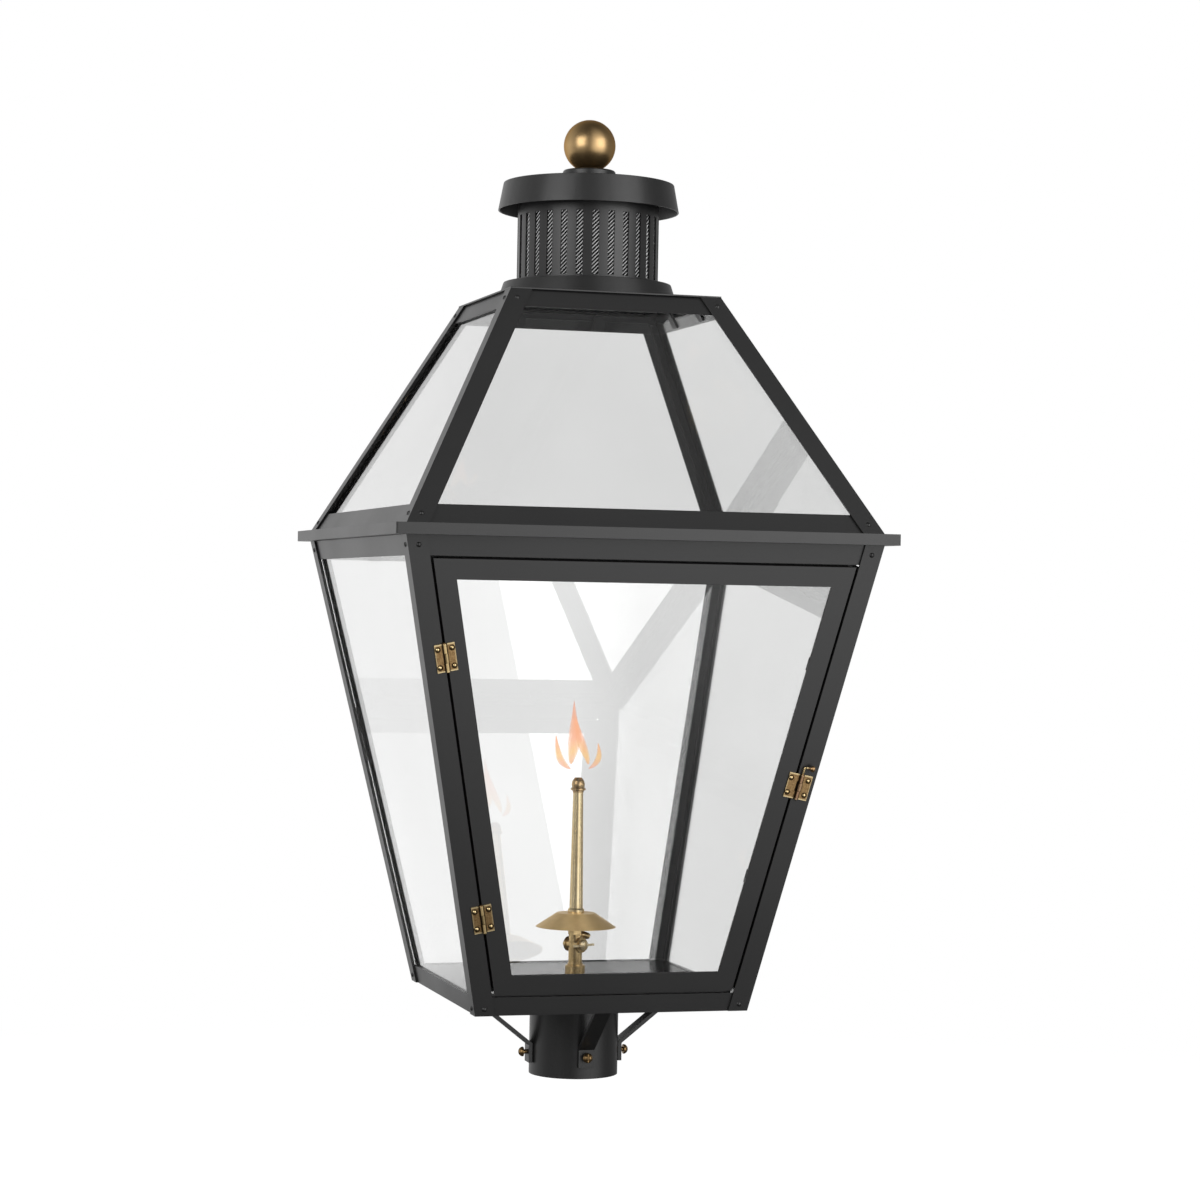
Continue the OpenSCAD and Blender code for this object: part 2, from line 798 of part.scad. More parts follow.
module roof_clip_low() {
    low = roof_z + sheet_t;
    top = low + clip_lap;
    near = 2 * roof_skin + roof_pane;
    far = near + roof_clip;
    rotate([90, 0, -90])
        linear_extrude(clip_w, center = true)
            polygon([[roof_half(low) - near, low], [roof_half(top) - near, top], [roof_half(top) - far, top],
                [roof_half(low + clip_t) - far, low + clip_t],
                [roof_half(low) - near - clip_lap, low + clip_t], [roof_half(low) - near - clip_lap, low]]);
}

module pane_clips() {
    color(black) {
        for (side = [1 : 3], hand = [-1, 1])
            on_side(side) translate([hand * body_high * clip_spread, 0, 0]) body_clip();
        for (side = [0 : 3], hand = [-1, 1])
            on_side(side) {
                translate([hand * roof_high * high_clip_spread, 0, 0]) roof_clip_high();
                translate([hand * body_high * clip_spread, 0, 0]) roof_clip_low();
            }
    }
}

module frame_fasteners() {
    color(black) {
        at_body_rivets() rivet(rivet_head_d, rivet_d, 2 * sheet_t);
        at_roof_rivets() rivet(rivet_head_d, rivet_d, 2 * sheet_t);
        at_eave_bolts() eave_bolt();
        at_brace_rivets()
            translate([0, 0, -brace_t]) {
                mirror([0, 0, 1]) dome(rivet_head_d, rivet_head_d * rivet_rise);
                cylinder(d = rivet_d, h = brace_t + sheet_t);
            }
    }
}

// Bore through the top plate and its flue tube
module flue_bore() {
    translate([0, 0, roof_top_z - over])
        cylinder(d = flue_d, h = top_plate_t + flue_rise + 2 * over, $fn = 96);
}

// Top plate with its flue tube, which is notched for the centre rod's strap
module top_plate() {
    color(black) {
        difference() {
            translate([0, 0, roof_top_z])
                linear_extrude(top_plate_t) square(roof_top_w, center = true);
            flue_bore();
        }
        difference() {
            translate([0, 0, roof_top_z])
                cylinder(d = flue_d + 2 * flue_wall, h = top_plate_t + flue_rise, $fn = 96);
            flue_bore();
            translate([0, 0, vent_z])
                cube([2 * flue_d, strap_w + 2 * seat_gap, 2 * (strap_t + seat_gap)], center = true);
        }
    }
}

// Chimney base: a spun cone with an inward shoulder that the mesh stands on
vent_r = vent_d / 2;
mesh_r = vent_r - vent_wall - seat_gap;
shoulder_in = mesh_r - mesh_t - over;

module vent_base() {
    low_r = vent_base_d / 2;
    high_r = vent_shoulder_d / 2;
    color(black)
    rotate_extrude($fn = 96)
        polygon([[low_r, vent_z], [high_r, shoulder_z], [shoulder_in, shoulder_z],
            [shoulder_in, shoulder_z - vent_wall], [high_r - vent_wall, shoulder_z - vent_wall],
            [low_r - vent_wall, vent_z]]);
}

module vent_cylinder() {
    color(black)
    difference() {
        translate([0, 0, shoulder_z]) cylinder(r = vent_r, h = vent_h, $fn = 96);
        translate([0, 0, shoulder_z - over])
            cylinder(r = vent_r - vent_wall, h = vent_h + 2 * over, $fn = 96);
        for (i = [0 : slot_count - 1])
            rotate([0, 0, slot_turn + 360 * i / slot_count])
                translate([0, -vent_r, shoulder_z + slot_z + slot_h / 2])
                    cube([slot_w, 2 * (vent_wall + over), slot_h], center = true);
    }
}

module vent_mesh() {
    color(wire)
    translate([0, 0, shoulder_z])
        difference() {
            cylinder(r = mesh_r, h = vent_h - seat_gap, $fn = 96);
            translate([0, 0, -over]) cylinder(r = mesh_r - mesh_t, h = vent_h + 2 * over, $fn = 96);
        }
}

// Cap: a spun lid with a flared skirt and a raised middle
module vent_cap() {
    top_r = cap_top_d / 2;
    low_r = cap_low_d / 2;
    skirt_z = cap_z + vent_wall - cap_skirt_h;
    rise_r = vent_r - vent_wall - cap_flat;
    seat_r = collar_d / 2 + over;
    hole_r = rod_d / 2 + run_gap;
    color(black)
    rotate_extrude($fn = 96)
        polygon([[hole_r, collar_z], [seat_r, collar_z], [rise_r, cap_z + vent_wall],
            [top_r, cap_z + vent_wall], [low_r, skirt_z], [low_r - vent_wall, skirt_z],
            [top_r - vent_wall, cap_z], [rise_r, cap_z],
            [seat_r, collar_z - vent_wall], [hole_r, collar_z - vent_wall]]);
}

// Centre rod, welded to a strap across the top plate, that clamps the chimney
strap_half = flue_d / 2 + strap_lap;

module vent_rod() {
    color(black) {
        translate([-strap_half, -strap_w / 2, vent_z]) cube([2 * strap_half, strap_w, strap_t]);
        translate([0, 0, vent_z + strap_t / 2])
            cylinder(d = rod_d, h = ball_z - ball_d / 2 + ball_bore - vent_z - strap_t / 2);
    }
}

module finial_collar() {
    r = collar_d / 2;
    hole_r = rod_d / 2 + run_gap;
    color(black)
    translate([0, 0, collar_z])
        rotate_extrude($fn = 96)
            polygon([[hole_r, 0], [r - collar_edge, 0], [r, collar_edge], [r, collar_h - collar_edge],
                [r - collar_edge, collar_h], [hole_r, collar_h]]);
}

module finial_ball() {
    color(brass)
    translate([0, 0, ball_z])
        difference() {
            sphere(d = ball_d, $fn = 96);
            translate([0, 0, -ball_d / 2 + ball_flat - ball_d])
                cylinder(d = ball_d, h = ball_d);
            translate([0, 0, -ball_d / 2])
                cylinder(r = rod_d / 2 + run_gap, h = ball_bore + seat_gap);
        }
}

// Door, in the local frame of the front face
door_low = bottom_rail_h / cos(body_lean) + door_gap_end;
door_high = face_len - upper_rail_h / cos(body_lean) - door_gap_end;
door_edge = post_flange + door_gap_side;
end_clip_x = body_low * end_clip_spread;

function door_outline(inset) = [
    [-face_half(door_low + inset) + door_edge + inset, door_low + inset],
    [face_half(door_low + inset) - door_edge - inset, door_low + inset],
    [face_half(door_high - inset) - door_edge - inset, door_high - inset],
    [-face_half(door_high - inset) + door_edge + inset, door_high - inset]];

module door_frame() {
    color(black)
    on_front()
        difference() {
            union() {
                upright(0, sheet_t) polygon(door_outline(0));
                upright(sheet_t / 2, sheet_t + door_lip)
                    difference() {
                        polygon(door_outline(0));
                        polygon(door_outline(door_lip_t));
                        for (corner = door_outline(0))
                            translate(corner) square(2 * lip_relief, center = true);
                    }
            }
            upright(-over, sheet_t + over) polygon(door_outline(door_member));
            at_door_leaf_rivets() leaf_rivet_hole();
        }
}

module door_glass() {
    color(clear)
    on_front()
        upright(sheet_t, sheet_t + glass_t) polygon(door_outline(door_member - door_glass_lap));
}

// Angle clips on the door's lip that hold its glass
module door_clip() {
    back = sheet_t + glass_t;
    long = door_member - door_glass_lap - door_lip_t + door_clip_lap;
    translate([0, back, 0]) cube([long, clip_t, clip_w]);
    translate([0, back, 0]) cube([clip_t, sheet_t + door_lip - back, clip_w]);
}

module door_clips() {
    color(black)
    on_front() {
        for (v = door_clip_levels, hand = [0, 1]) {
            level = door_low + (door_high - door_low) * v;
            mirror([hand, 0, 0])
                translate([-face_half(level) + door_edge + door_lip_t / cos(edge_lean), 0, level])
                    rotate([0, -edge_lean, 0]) door_clip();
        }
        for (x = [-end_clip_x, end_clip_x]) {
            translate([x + clip_w / 2, 0, door_low + door_lip_t]) rotate([0, -90, 0]) door_clip();
            translate([x - clip_w / 2, 0, door_high - door_lip_t]) rotate([0, 90, 0]) door_clip();
        }
    }
}

// Door stop: an angle strip behind both front posts and the upper rail, which the lip closes against
rail_edge = door_high + door_gap_end;

function stop_outline(inset, low, high) = [
    [-face_half(low) + inset, low], [face_half(low) - inset, low],
    [face_half(high) - inset, high], [-face_half(high) + inset, high]];

module door_stop() {
    outer = post_flange - clip_t;
    back = sheet_t + door_lip + seat_gap;
    color(black)
    on_front() {
        upright(sheet_t, back + clip_t)
            difference() {
                polygon(stop_outline(outer, door_low, door_high));
                polygon(stop_outline(post_flange, door_low - over, door_high + over));
            }
        upright(2 * sheet_t, back + clip_t) polygon(stop_outline(outer, rail_edge, rail_edge + clip_t));
        upright(back, back + clip_t)
            difference() {
                polygon(stop_outline(outer, door_low, rail_edge + clip_t));
                polygon(stop_outline(door_edge + stop_lap, door_low - over, door_high - stop_lap));
            }
    }
}

// Butt hinges and latch, in their own frame: z along the pin, -y out of the face
knuckle_r = pin_d / 2 + run_gap + knuckle_wall;
knuckle_y = -knuckle_r - run_gap;
pin_line = post_flange + door_gap_side / 2;
latch_line = pin_line - latch_shift;
latch_y = -knuckle_r - seat_gap;

module at_hinges() {
    for (v = [hinge_low, hinge_high])
        translate([-face_half(v) + pin_line, 0, v]) rotate([0, -edge_lean, 0]) children();
}

module at_latch() {
    translate([face_half(latch_v) - latch_line, 0, latch_v]) rotate([0, edge_lean, 0]) children();
}

module at_leaf_rivets(x, spacing) {
    for (z = [-spacing / 2, spacing / 2])
        translate([x, 0, z]) children();
}

latch_door_rivet = latch_shift + door_gap_side / 2 + door_lip_t + rivet_d * tail_wide / 2 + seat_gap / 2;
latch_post_rivet = latch_post_reach - latch_rivet_edge;

module at_post_leaf_rivets() {
    at_hinges() at_leaf_rivets(-leaf_rivet_reach, leaf_rivet_gap) children();
    at_latch() at_leaf_rivets(latch_post_rivet, latch_rivet_gap) children();
}

module at_door_leaf_rivets() {
    at_hinges() at_leaf_rivets(leaf_rivet_reach, leaf_rivet_gap) children();
    at_latch() at_leaf_rivets(-latch_door_rivet, latch_rivet_gap) children();
}

module leaf_rivet_hole() {
    translate([0, -over - leaf_t, 0]) rotate([-90, 0, 0])
        cylinder(d = rivet_d + 2 * run_gap, h = leaf_t + sheet_t + 2 * over);
}

module leaf_rivet() {
    translate([0, -leaf_t, 0]) rivet(leaf_rivet_head_d, rivet_d, leaf_t + sheet_t);
}

// Knuckle bands of a leaf of length h: the middle band, or the two outer ones
function band(h, outer) = outer ? [[-h / 2, -h / 6 - seat_gap / 2], [h / 6 + seat_gap / 2, h / 2]]
    : [[-h / 6 + seat_gap / 2, h / 6 - seat_gap / 2]];

// Leaf towards +x with its knuckles round the pin line at depth y
module leaf(h, far, outer, y) {
    clear_x = knuckle_r + seat_gap;
    difference() {
        union() {
            translate([clear_x, -leaf_t, -h / 2]) cube([far - clear_x, leaf_t, h]);
            for (b = band(h, outer)) {
                translate([0, y, b[0]]) cylinder(r = knuckle_r, h = b[1] - b[0]);
                translate([0, -leaf_t, b[0]]) cube([clear_x + over, leaf_t, b[1] - b[0]]);
                translate([0, y - knuckle_r, b[0]]) cube([knuckle_r, -y - leaf_t + knuckle_r, b[1] - b[0]]);
            }
        }
        translate([0, y, -h]) cylinder(r = pin_d / 2 + run_gap, h = 2 * h);
    }
}

module hinge_post_leaves() {
    color(brass)
    on_front()
        difference() {
            at_hinges() mirror([1, 0, 0]) leaf(hinge_h, leaf_reach, true, knuckle_y);
            at_post_leaf_rivets() leaf_rivet_hole();
        }
}

module hinge_door_leaves() {
    color(brass)
    on_front()
        difference() {
            at_hinges() leaf(hinge_h, leaf_reach, false, knuckle_y);
            at_door_leaf_rivets() leaf_rivet_hole();
        }
}

module hinge_pins() {
    color(brass)
    on_front() at_hinges()
        translate([0, knuckle_y, 0]) {
            cylinder(d = pin_d, h = hinge_h, center = true);
            for (end = [0, 1])
                mirror([0, 0, end]) translate([0, 0, hinge_h / 2])
                    dome(2 * knuckle_r, knuckle_r * knuckle_dome);
        }
}

module post_leaf_rivets() {
    color(brass)
    on_front() at_post_leaf_rivets() leaf_rivet();
}

module door_leaf_rivets() {
    color(brass)
    on_front() at_door_leaf_rivets() leaf_rivet();
}

module latch_post_leaf() {
    color(brass)
    on_front()
        difference() {
            at_latch() leaf(latch_h, latch_post_reach, false, latch_y);
            at_post_leaf_rivets() leaf_rivet_hole();
        }
}

// The door's latch knuckles are hooks, open behind the pin
module latch_door_leaf() {
    color(brass)
    on_front()
        difference() {
            at_latch() mirror([1, 0, 0]) leaf(latch_h, latch_door_reach, true, latch_y);
            at_latch() translate([-pin_d / 2 - 2 * run_gap, latch_y, -latch_h])
                cube([pin_d + 4 * run_gap, 2 * knuckle_r, 2 * latch_h]);
            at_door_leaf_rivets() leaf_rivet_hole();
        }
}

// Lift-out latch pin: a bent wire with a tapered knob
module latch_knob() {
    low_r = pin_d * knob_neck;
    high_r = knob_d / 2;
    edge = knob_d / 10;
    rotate_extrude()
        polygon([[0, 0], [low_r, 0], [high_r - edge / 2, knob_len - 2 * edge], [high_r, knob_len - edge],
            [high_r - edge, knob_len], [0, knob_len]]);
}

module latch_pin() {
    tail = latch_h / 2 + over;
    color(brass)
    on_front() at_latch()
        translate([0, latch_y, 0]) {
            translate([0, 0, -tail]) cylinder(d = pin_d, h = tail + latch_h / 2 + latch_pin_rise);
            translate([0, 0, latch_h / 2 + latch_pin_rise]) {
                sphere(d = pin_d);
                rotate([0, 0, -latch_arm_turn]) rotate([0, 90, 0]) {
                    cylinder(d = pin_d, h = latch_arm + over);
                    translate([0, 0, latch_arm]) latch_knob();
                }
            }
        }
}

// Gas inlet pipe through the floor plate, with a spigot for the supply line
module gas_inlet() {
    pipe_h = inlet_drop - spigot_h + floor_t + coupling_h / 2;
    color(brass)
    translate([0, 0, ledge_z - inlet_drop])
        difference() {
            union() {
                cylinder(d = spigot_d, h = spigot_h);
                translate([0, 0, spigot_h]) cylinder(d = inlet_d, h = pipe_h);
            }
            translate([0, 0, -over]) cylinder(d = inlet_bore, h = spigot_h + pipe_h + 2 * over);
        }
}

module gas_coupling() {
    r = coupling_d / 2;
    bore_r = inlet_d / 2 + run_gap;
    color(brass)
    translate([0, 0, floor_z])
        rotate_extrude()
            polygon([[bore_r, 0], [r, 0], [r, coupling_h - coupling_edge], [r - coupling_edge, coupling_h],
                [bore_r, coupling_h]]);
}

// Gas cock: a pipe with a cross barrel that takes the plug, and a hexagon under the dish
valve_mid = floor_z + valve_z;
valve_end = floor_z + valve_top;
valve_low = floor_z + coupling_h / 2;
barrel_half = barrel_len / 2;
barrel_rim = 1;
barrel_rim_h = 2;
bead_rim = 0.7;
bead_h = 1.6;
hexagon_rim = 0.9;
hexagon_h = 7;

module on_plug() {
    translate([0, 0, valve_mid]) rotate([90, 0, valve_yaw]) children();
}

module valve_body() {
    pipe_r = inlet_d / 2;
    color(brass)
    difference() {
        union() {
            translate([0, 0, valve_low]) cylinder(r = pipe_r, h = valve_end - valve_low);
            translate([0, 0, floor_z + coupling_h]) cylinder(r = pipe_r + bead_rim, h = bead_h);
            on_plug() cylinder(d = barrel_d, h = barrel_len, center = true);
            for (end = [-barrel_half, barrel_half - barrel_rim_h])
                on_plug() translate([0, 0, end]) cylinder(r = barrel_d / 2 + barrel_rim, h = barrel_rim_h);
            translate([0, 0, valve_end - hexagon_h])
                cylinder(r = pipe_r + hexagon_rim, h = hexagon_h, $fn = 6);
        }
        translate([0, 0, floor_z]) cylinder(d = port_d, h = valve_top + over);
        on_plug() cylinder(d = plug_d + 2 * run_gap, h = 2 * barrel_len, center = true);
    }
}

// Plug with its winged key and slotted end, which turn together
key_gap = 0.4;
key_z = barrel_half + key_gap;
plug_dome_h = 1.6;
plug_slot_w = 1.1;
plug_slot_h = 1.2;
plug_tail = barrel_half + nut_h;

module valve_key() {
    wing_z = key_z + wing_h / 2;
    wing_r = wing_h / 2;
    wing_half = key_w / 2 - wing_r;
    color(brass)
    on_plug() difference() {
        union() {
            translate([0, 0, -plug_tail]) cylinder(d = plug_d, h = plug_tail + key_z + over);
            translate([0, 0, key_z]) cylinder(d = plug_head_d, h = plug_head_h);
            translate([0, 0, key_z + plug_head_h]) dome(plug_head_d, plug_dome_h);
            for (x = [-wing_half, wing_half])
                translate([x, 0, wing_z]) rotate([90, 0, 0]) cylinder(r = wing_r, h = wing_t, center = true);
            translate([0, 0, wing_z]) cube([2 * wing_half, wing_t, wing_h * wing_middle], center = true);
        }
        rotate([90, 0, 0]) cylinder(d = port_d, h = plug_d + over, center = true);
        translate([0, 0, key_z + plug_head_h + plug_dome_h])
            cube([plug_slot_w, plug_head_d + over, 2 * plug_slot_h], center = true);
    }
}

module valve_nut() {
    color(brass)
    on_plug() translate([0, 0, -plug_tail - key_gap / 2])
        difference() {
            cylinder(d = nut_d, h = nut_h, $fn = 6);
            translate([0, 0, key_gap / 2]) cylinder(d = plug_d, h = nut_h);
        }
}

// Drip dish: a spun cone on top of the gas cock, with a boss inside
dish_z = valve_end;
crown_z = dish_z + dish_h;
web_walls = 3;

module burner_dish() {
    rim = dish_d / 2;
    crown = dish_crown_d / 2;
    lean = atan(dish_h / (rim - crown));
    rim_in = rim - dish_wall / sin(lean);
    crown_in = rim_in - (dish_h - dish_wall) / tan(lean);
    boss_r = inlet_d / 2 + dish_boss;
    hole = tube_bore / 2 + dish_boss;
    color(brass)
    rotate_extrude($fn = 96)
        polygon([[rim, dish_z], [crown, crown_z], [hole, crown_z], [hole, dish_z], [boss_r, dish_z],
            [boss_r, crown_z - web_walls * dish_wall], [crown_in, crown_z - dish_wall], [rim_in, dish_z]]);
}

// Burner tube with its foot ring, and the tip it carries
module burner_tube() {
    ring_r = tube_low_d / 2 + foot_rim;
    color(brass)
    translate([0, 0, crown_z])
        difference() {
            union() {
                cylinder(d1 = tube_low_d, d2 = tube_top_d, h = tube_h);
                cylinder(r = ring_r, h = foot_h);
                translate([0, 0, foot_h]) cylinder(r1 = ring_r, r2 = ring_r - foot_rim, h = foot_h / 2);
            }
            translate([0, 0, -over]) cylinder(d = tube_bore, h = tube_h + 2 * over);
        }
}

// Burner tip: a neck, a ring and a bulged nose with a slot across it
tip_neck_h = 1.5;
tip_ring_h = 1.4;
tip_bulge_h = 1.6;
tip_edge = 0.9;
tip_shoulder_r = 0.86 * tip_d / 2;
tip_shoulder_z = 0.8 * tip_h;
tip_crown_r = 0.52 * tip_d / 2;

module burner_tip() {
    r = tip_d / 2;
    ring_r = r + tip_rim;
    neck = tube_top_d / 2 + tip_edge / 2;
    bore = tube_bore / 2;
    ring_z = tip_neck_h + tip_edge;
    waist_z = ring_z + tip_ring_h + tip_edge;
    bulge_z = tip_h / 2;
    color(brass)
    translate([0, 0, crown_z + tube_h])
        difference() {
            rotate_extrude()
                polygon([[bore, 0], [neck, 0], [neck, tip_neck_h], [ring_r, ring_z],
                    [ring_r, ring_z + tip_ring_h], [r - tip_edge / 2, waist_z],
                    [r, bulge_z], [r, bulge_z + tip_bulge_h],
                    [tip_shoulder_r, tip_shoulder_z], [tip_crown_r, tip_h], [0, tip_h],
                    [0, tip_h - tip_neck_h * 2], [bore, tip_h - tip_neck_h * 2 - bore]]);
            translate([0, 0, tip_h]) cube([tip_slot_w, tip_d, 2 * tip_slot_h], center = true);
        }
}

post_fitter();
floor_plate();
braces();
fitter_screws();
bottom_rail(0);  // bottom_rail_front
bottom_rail(1);  // bottom_rail_right
bottom_rail(2);  // bottom_rail_back
bottom_rail(3);  // bottom_rail_left
corner_post(0);  // corner_post_front_left
corner_post(1);  // corner_post_front_right
corner_post(2);  // corner_post_back_right
corner_post(3);  // corner_post_back_left
upper_rail(0);  // upper_rail_front
upper_rail(1);  // upper_rail_right
upper_rail(2);  // upper_rail_back
upper_rail(3);  // upper_rail_left
eave();
roof_hip(0);  // roof_hip_front_left
roof_hip(1);  // roof_hip_front_right
roof_hip(2);  // roof_hip_back_right
roof_hip(3);  // roof_hip_back_left
roof_base_rails();
roof_top_rails();
body_pane(1);  // pane_right
body_pane(2);  // pane_back
body_pane(3);  // pane_left
roof_glass(0);  // roof_pane_front
roof_glass(1);  // roof_pane_right
roof_glass(2);  // roof_pane_back
roof_glass(3);  // roof_pane_left
pane_clips();
frame_fasteners();
top_plate();
vent_base();
vent_cylinder();
vent_mesh();
vent_cap();
vent_rod();
finial_collar();
finial_ball();
door_stop();
hinge_post_leaves();
hinge_pins();
post_leaf_rivets();
latch_post_leaf();
gas_inlet();
gas_coupling();
valve_body();
burner_dish();
burner_tube();
burner_tip();
door_frame();
door_glass();
door_clips();
hinge_door_leaves();
latch_door_leaf();
door_leaf_rivets();
latch_pin();
valve_key();
valve_nut();
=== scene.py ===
import json
import math

import bmesh
import bpy
from mathutils import Matrix, Vector


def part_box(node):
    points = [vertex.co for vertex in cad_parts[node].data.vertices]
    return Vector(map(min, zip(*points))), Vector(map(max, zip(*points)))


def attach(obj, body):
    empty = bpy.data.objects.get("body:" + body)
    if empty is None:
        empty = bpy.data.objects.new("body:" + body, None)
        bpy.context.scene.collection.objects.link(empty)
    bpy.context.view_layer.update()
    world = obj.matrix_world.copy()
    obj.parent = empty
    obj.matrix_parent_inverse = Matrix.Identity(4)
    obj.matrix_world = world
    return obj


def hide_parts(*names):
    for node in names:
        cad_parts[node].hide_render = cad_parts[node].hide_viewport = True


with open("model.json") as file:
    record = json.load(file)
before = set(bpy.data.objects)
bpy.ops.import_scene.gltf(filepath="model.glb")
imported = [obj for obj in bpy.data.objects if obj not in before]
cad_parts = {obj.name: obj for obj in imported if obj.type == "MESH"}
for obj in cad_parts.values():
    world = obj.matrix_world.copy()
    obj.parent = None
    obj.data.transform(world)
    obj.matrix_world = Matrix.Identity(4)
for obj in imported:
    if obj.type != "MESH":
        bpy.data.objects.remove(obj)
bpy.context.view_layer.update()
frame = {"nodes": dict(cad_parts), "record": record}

nodes = frame["nodes"]
slotOf = {part["node"]: part["material_slot"] for part in frame["record"]["subparts"]}
bodyOf = {
    node: body
    for body, members in frame["record"]["behaviour"]["bodies"].items()
    for node in members
}
mm = 0.001
print("frame loaded:", len(nodes), "nodes")


# Camera at the photographer's place
camera = {
    "place": (-0.758844, -2.659444, 0.438188),
    "yaw": 16.284,
    "pitch": 0.049,
    "roll": 1.041,
    "focal": 2966.1,  # in pixels of the square picture
    "picture": 1200,
    "sensor": 36.0,
    "sight": 100,
}


def placeCamera(c):
    yaw, pitch, roll = (math.radians(c[key]) for key in ("yaw", "pitch", "roll"))
    level = Vector((math.sin(yaw), math.cos(yaw), 0))
    side = Vector((math.cos(yaw), -math.sin(yaw), 0))
    up = Vector((0, 0, 1))
    ahead = level * math.cos(pitch) + up * math.sin(pitch)
    above = up * math.cos(pitch) - level * math.sin(pitch)
    right = side * math.cos(roll) + above * math.sin(roll)
    top = above * math.cos(roll) - side * math.sin(roll)
    turn = Matrix((right, top, -ahead)).transposed().to_4x4()
    data = bpy.data.cameras.new("photo_camera")
    data.sensor_width = c["sensor"]
    data.lens = c["focal"] * c["sensor"] / c["picture"]
    data.clip_end = c["sight"]
    eye = bpy.data.objects.new("photo_camera", data)
    eye.matrix_world = Matrix.Translation(c["place"]) @ turn
    bpy.context.scene.collection.objects.link(eye)
    bpy.context.scene.camera = eye
    return level


viewWay = placeCamera(camera)
print("camera placed")


# Shader maths: a Wire is a shader socket that takes part in plain arithmetic
class Wire:
    def __init__(self, shader, socket):
        self.shader = shader
        self.socket = socket

    def __add__(self, other):
        return self.shader.maths("ADD", self, other)

    def __sub__(self, other):
        return self.shader.maths("SUBTRACT", self, other)

    def __rsub__(self, other):
        return self.shader.maths("SUBTRACT", other, self)

    def __mul__(self, other):
        return self.shader.maths("MULTIPLY", self, other)

    def __or__(self, other):
        return self.shader.maths("MAXIMUM", self, other)

    def __abs__(self):
        return self.shader.maths("ABSOLUTE", self, 0)

    def ramp(self, low, high):
        # 0 below low, 1 above high
        return self.shader.add("MapRange", {}, {"Value": self, "From Min": low, "From Max": high})

    __radd__ = __add__
    __rmul__ = __mul__


class Shader:
    def __init__(self, tree):
        self.tree = tree
        tree.nodes.clear()

    def maths(self, operation, first, second):
        return self.add("Math", {"operation": operation}, {0: first, 1: second})

    def add(self, kind, settings=None, values=None, out=0):
        node = self.tree.nodes.new("ShaderNode" + kind)
        for key, value in (settings or {}).items():
            if key == "stops":
                ramp = node.color_ramp
                while len(ramp.elements) < len(value):
                    ramp.elements.new(1)
                for element, (place, rgb) in zip(ramp.elements, value):
                    element.position = place
                    element.color = colour(rgb)
            else:
                setattr(node, key, value)
        for key, value in (values or {}).items():
            if isinstance(value, Wire):
                self.tree.links.new(value.socket, node.inputs[key])
            else:
                node.inputs[key].default_value = value
        return Wire(self, node.outputs[out]) if node.outputs else None

    def tint(self, factor, first, second):
        # Mixes two colours, because a Math node would turn them grey
        return self.add(
            "Mix",
            {"data_type": "RGBA"},
            {"Factor": factor, 6: first, 7: second},
            out=2,
        )


def grey(level):
    return (level, level, level)


def colour(rgb):
    return (*rgb, 1)


def newFinish(name):
    material = bpy.data.materials.new(name)
    material.use_nodes = True
    return material, Shader(material.node_tree)


def noise(shader, place, scale, detail=3.0, roughness=0.5):
    values = {"Vector": place, "Scale": scale, "Detail": detail, "Roughness": roughness}
    return shader.add("TexNoise", {}, values)


def bump(shader, height, strength, distance):
    return shader.add("Bump", {}, {"Strength": strength, "Distance": distance, "Height": height})


def objectPlace(shader, stretch=(1, 1, 1)):
    place = shader.add("TexCoord", out="Object")
    return shader.add("Mapping", {}, {"Vector": place, "Scale": stretch})


def axisOf(shader, vector, axis):
    return shader.add("SeparateXYZ", {}, {0: vector}, out=axis)


def levels(shader, share, steps):
    # A grey level for each share, between the steps given
    stops = [(place, grey(level)) for place, level in steps]
    return shader.add("ValToRGB", {"stops": stops}, {"Fac": share})


def rays(shader, first, second):
    # 1 for rays of either kind
    return shader.add("LightPath", out=f"Is {first} Ray") | shader.add("LightPath", out=f"Is {second} Ray")


# Paint: slow patches between deep and worn, and a fine speckle
blackPaint = {
    "deep": (0.0065, 0.0065, 0.0068),
    "worn": (0.0105, 0.0103, 0.0102),
    "gloss": 1.58,  # index of refraction
    "roughness": 0.30,
    "uneven": 0.12,
    "speckle": 0.05,
    "bump": 0.08,
    "bumpDepth": 0.04 * mm,
    "cloudScale": 11,
    "grainScale": 2200,
}
glossyPaint = {
    **blackPaint,
    "deep": (0.0080, 0.0080, 0.0085),
    "worn": (0.0120, 0.0118, 0.0116),
    "gloss": 1.32,
    "roughness": 0.16,
    "uneven": 0.05,
    "grainScale": 1500,
}


def makeBlackPaint(name, p):
    material, shader = newFinish(name)
    place = objectPlace(shader)
    cloud = noise(shader, place, p["cloudScale"], detail=4)
    grain = noise(shader, place, p["grainScale"], detail=2)
    surface = shader.add("BsdfPrincipled", {}, {
        "Base Color": shader.tint(cloud, colour(p["deep"]), colour(p["worn"])),
        "Roughness": p["roughness"] + p["uneven"] * cloud + p["speckle"] * grain,
        "IOR": p["gloss"],
        "Normal": bump(shader, grain, p["bump"], p["bumpDepth"]),
    })
    shader.add("OutputMaterial", {}, {"Surface": surface})
    return material


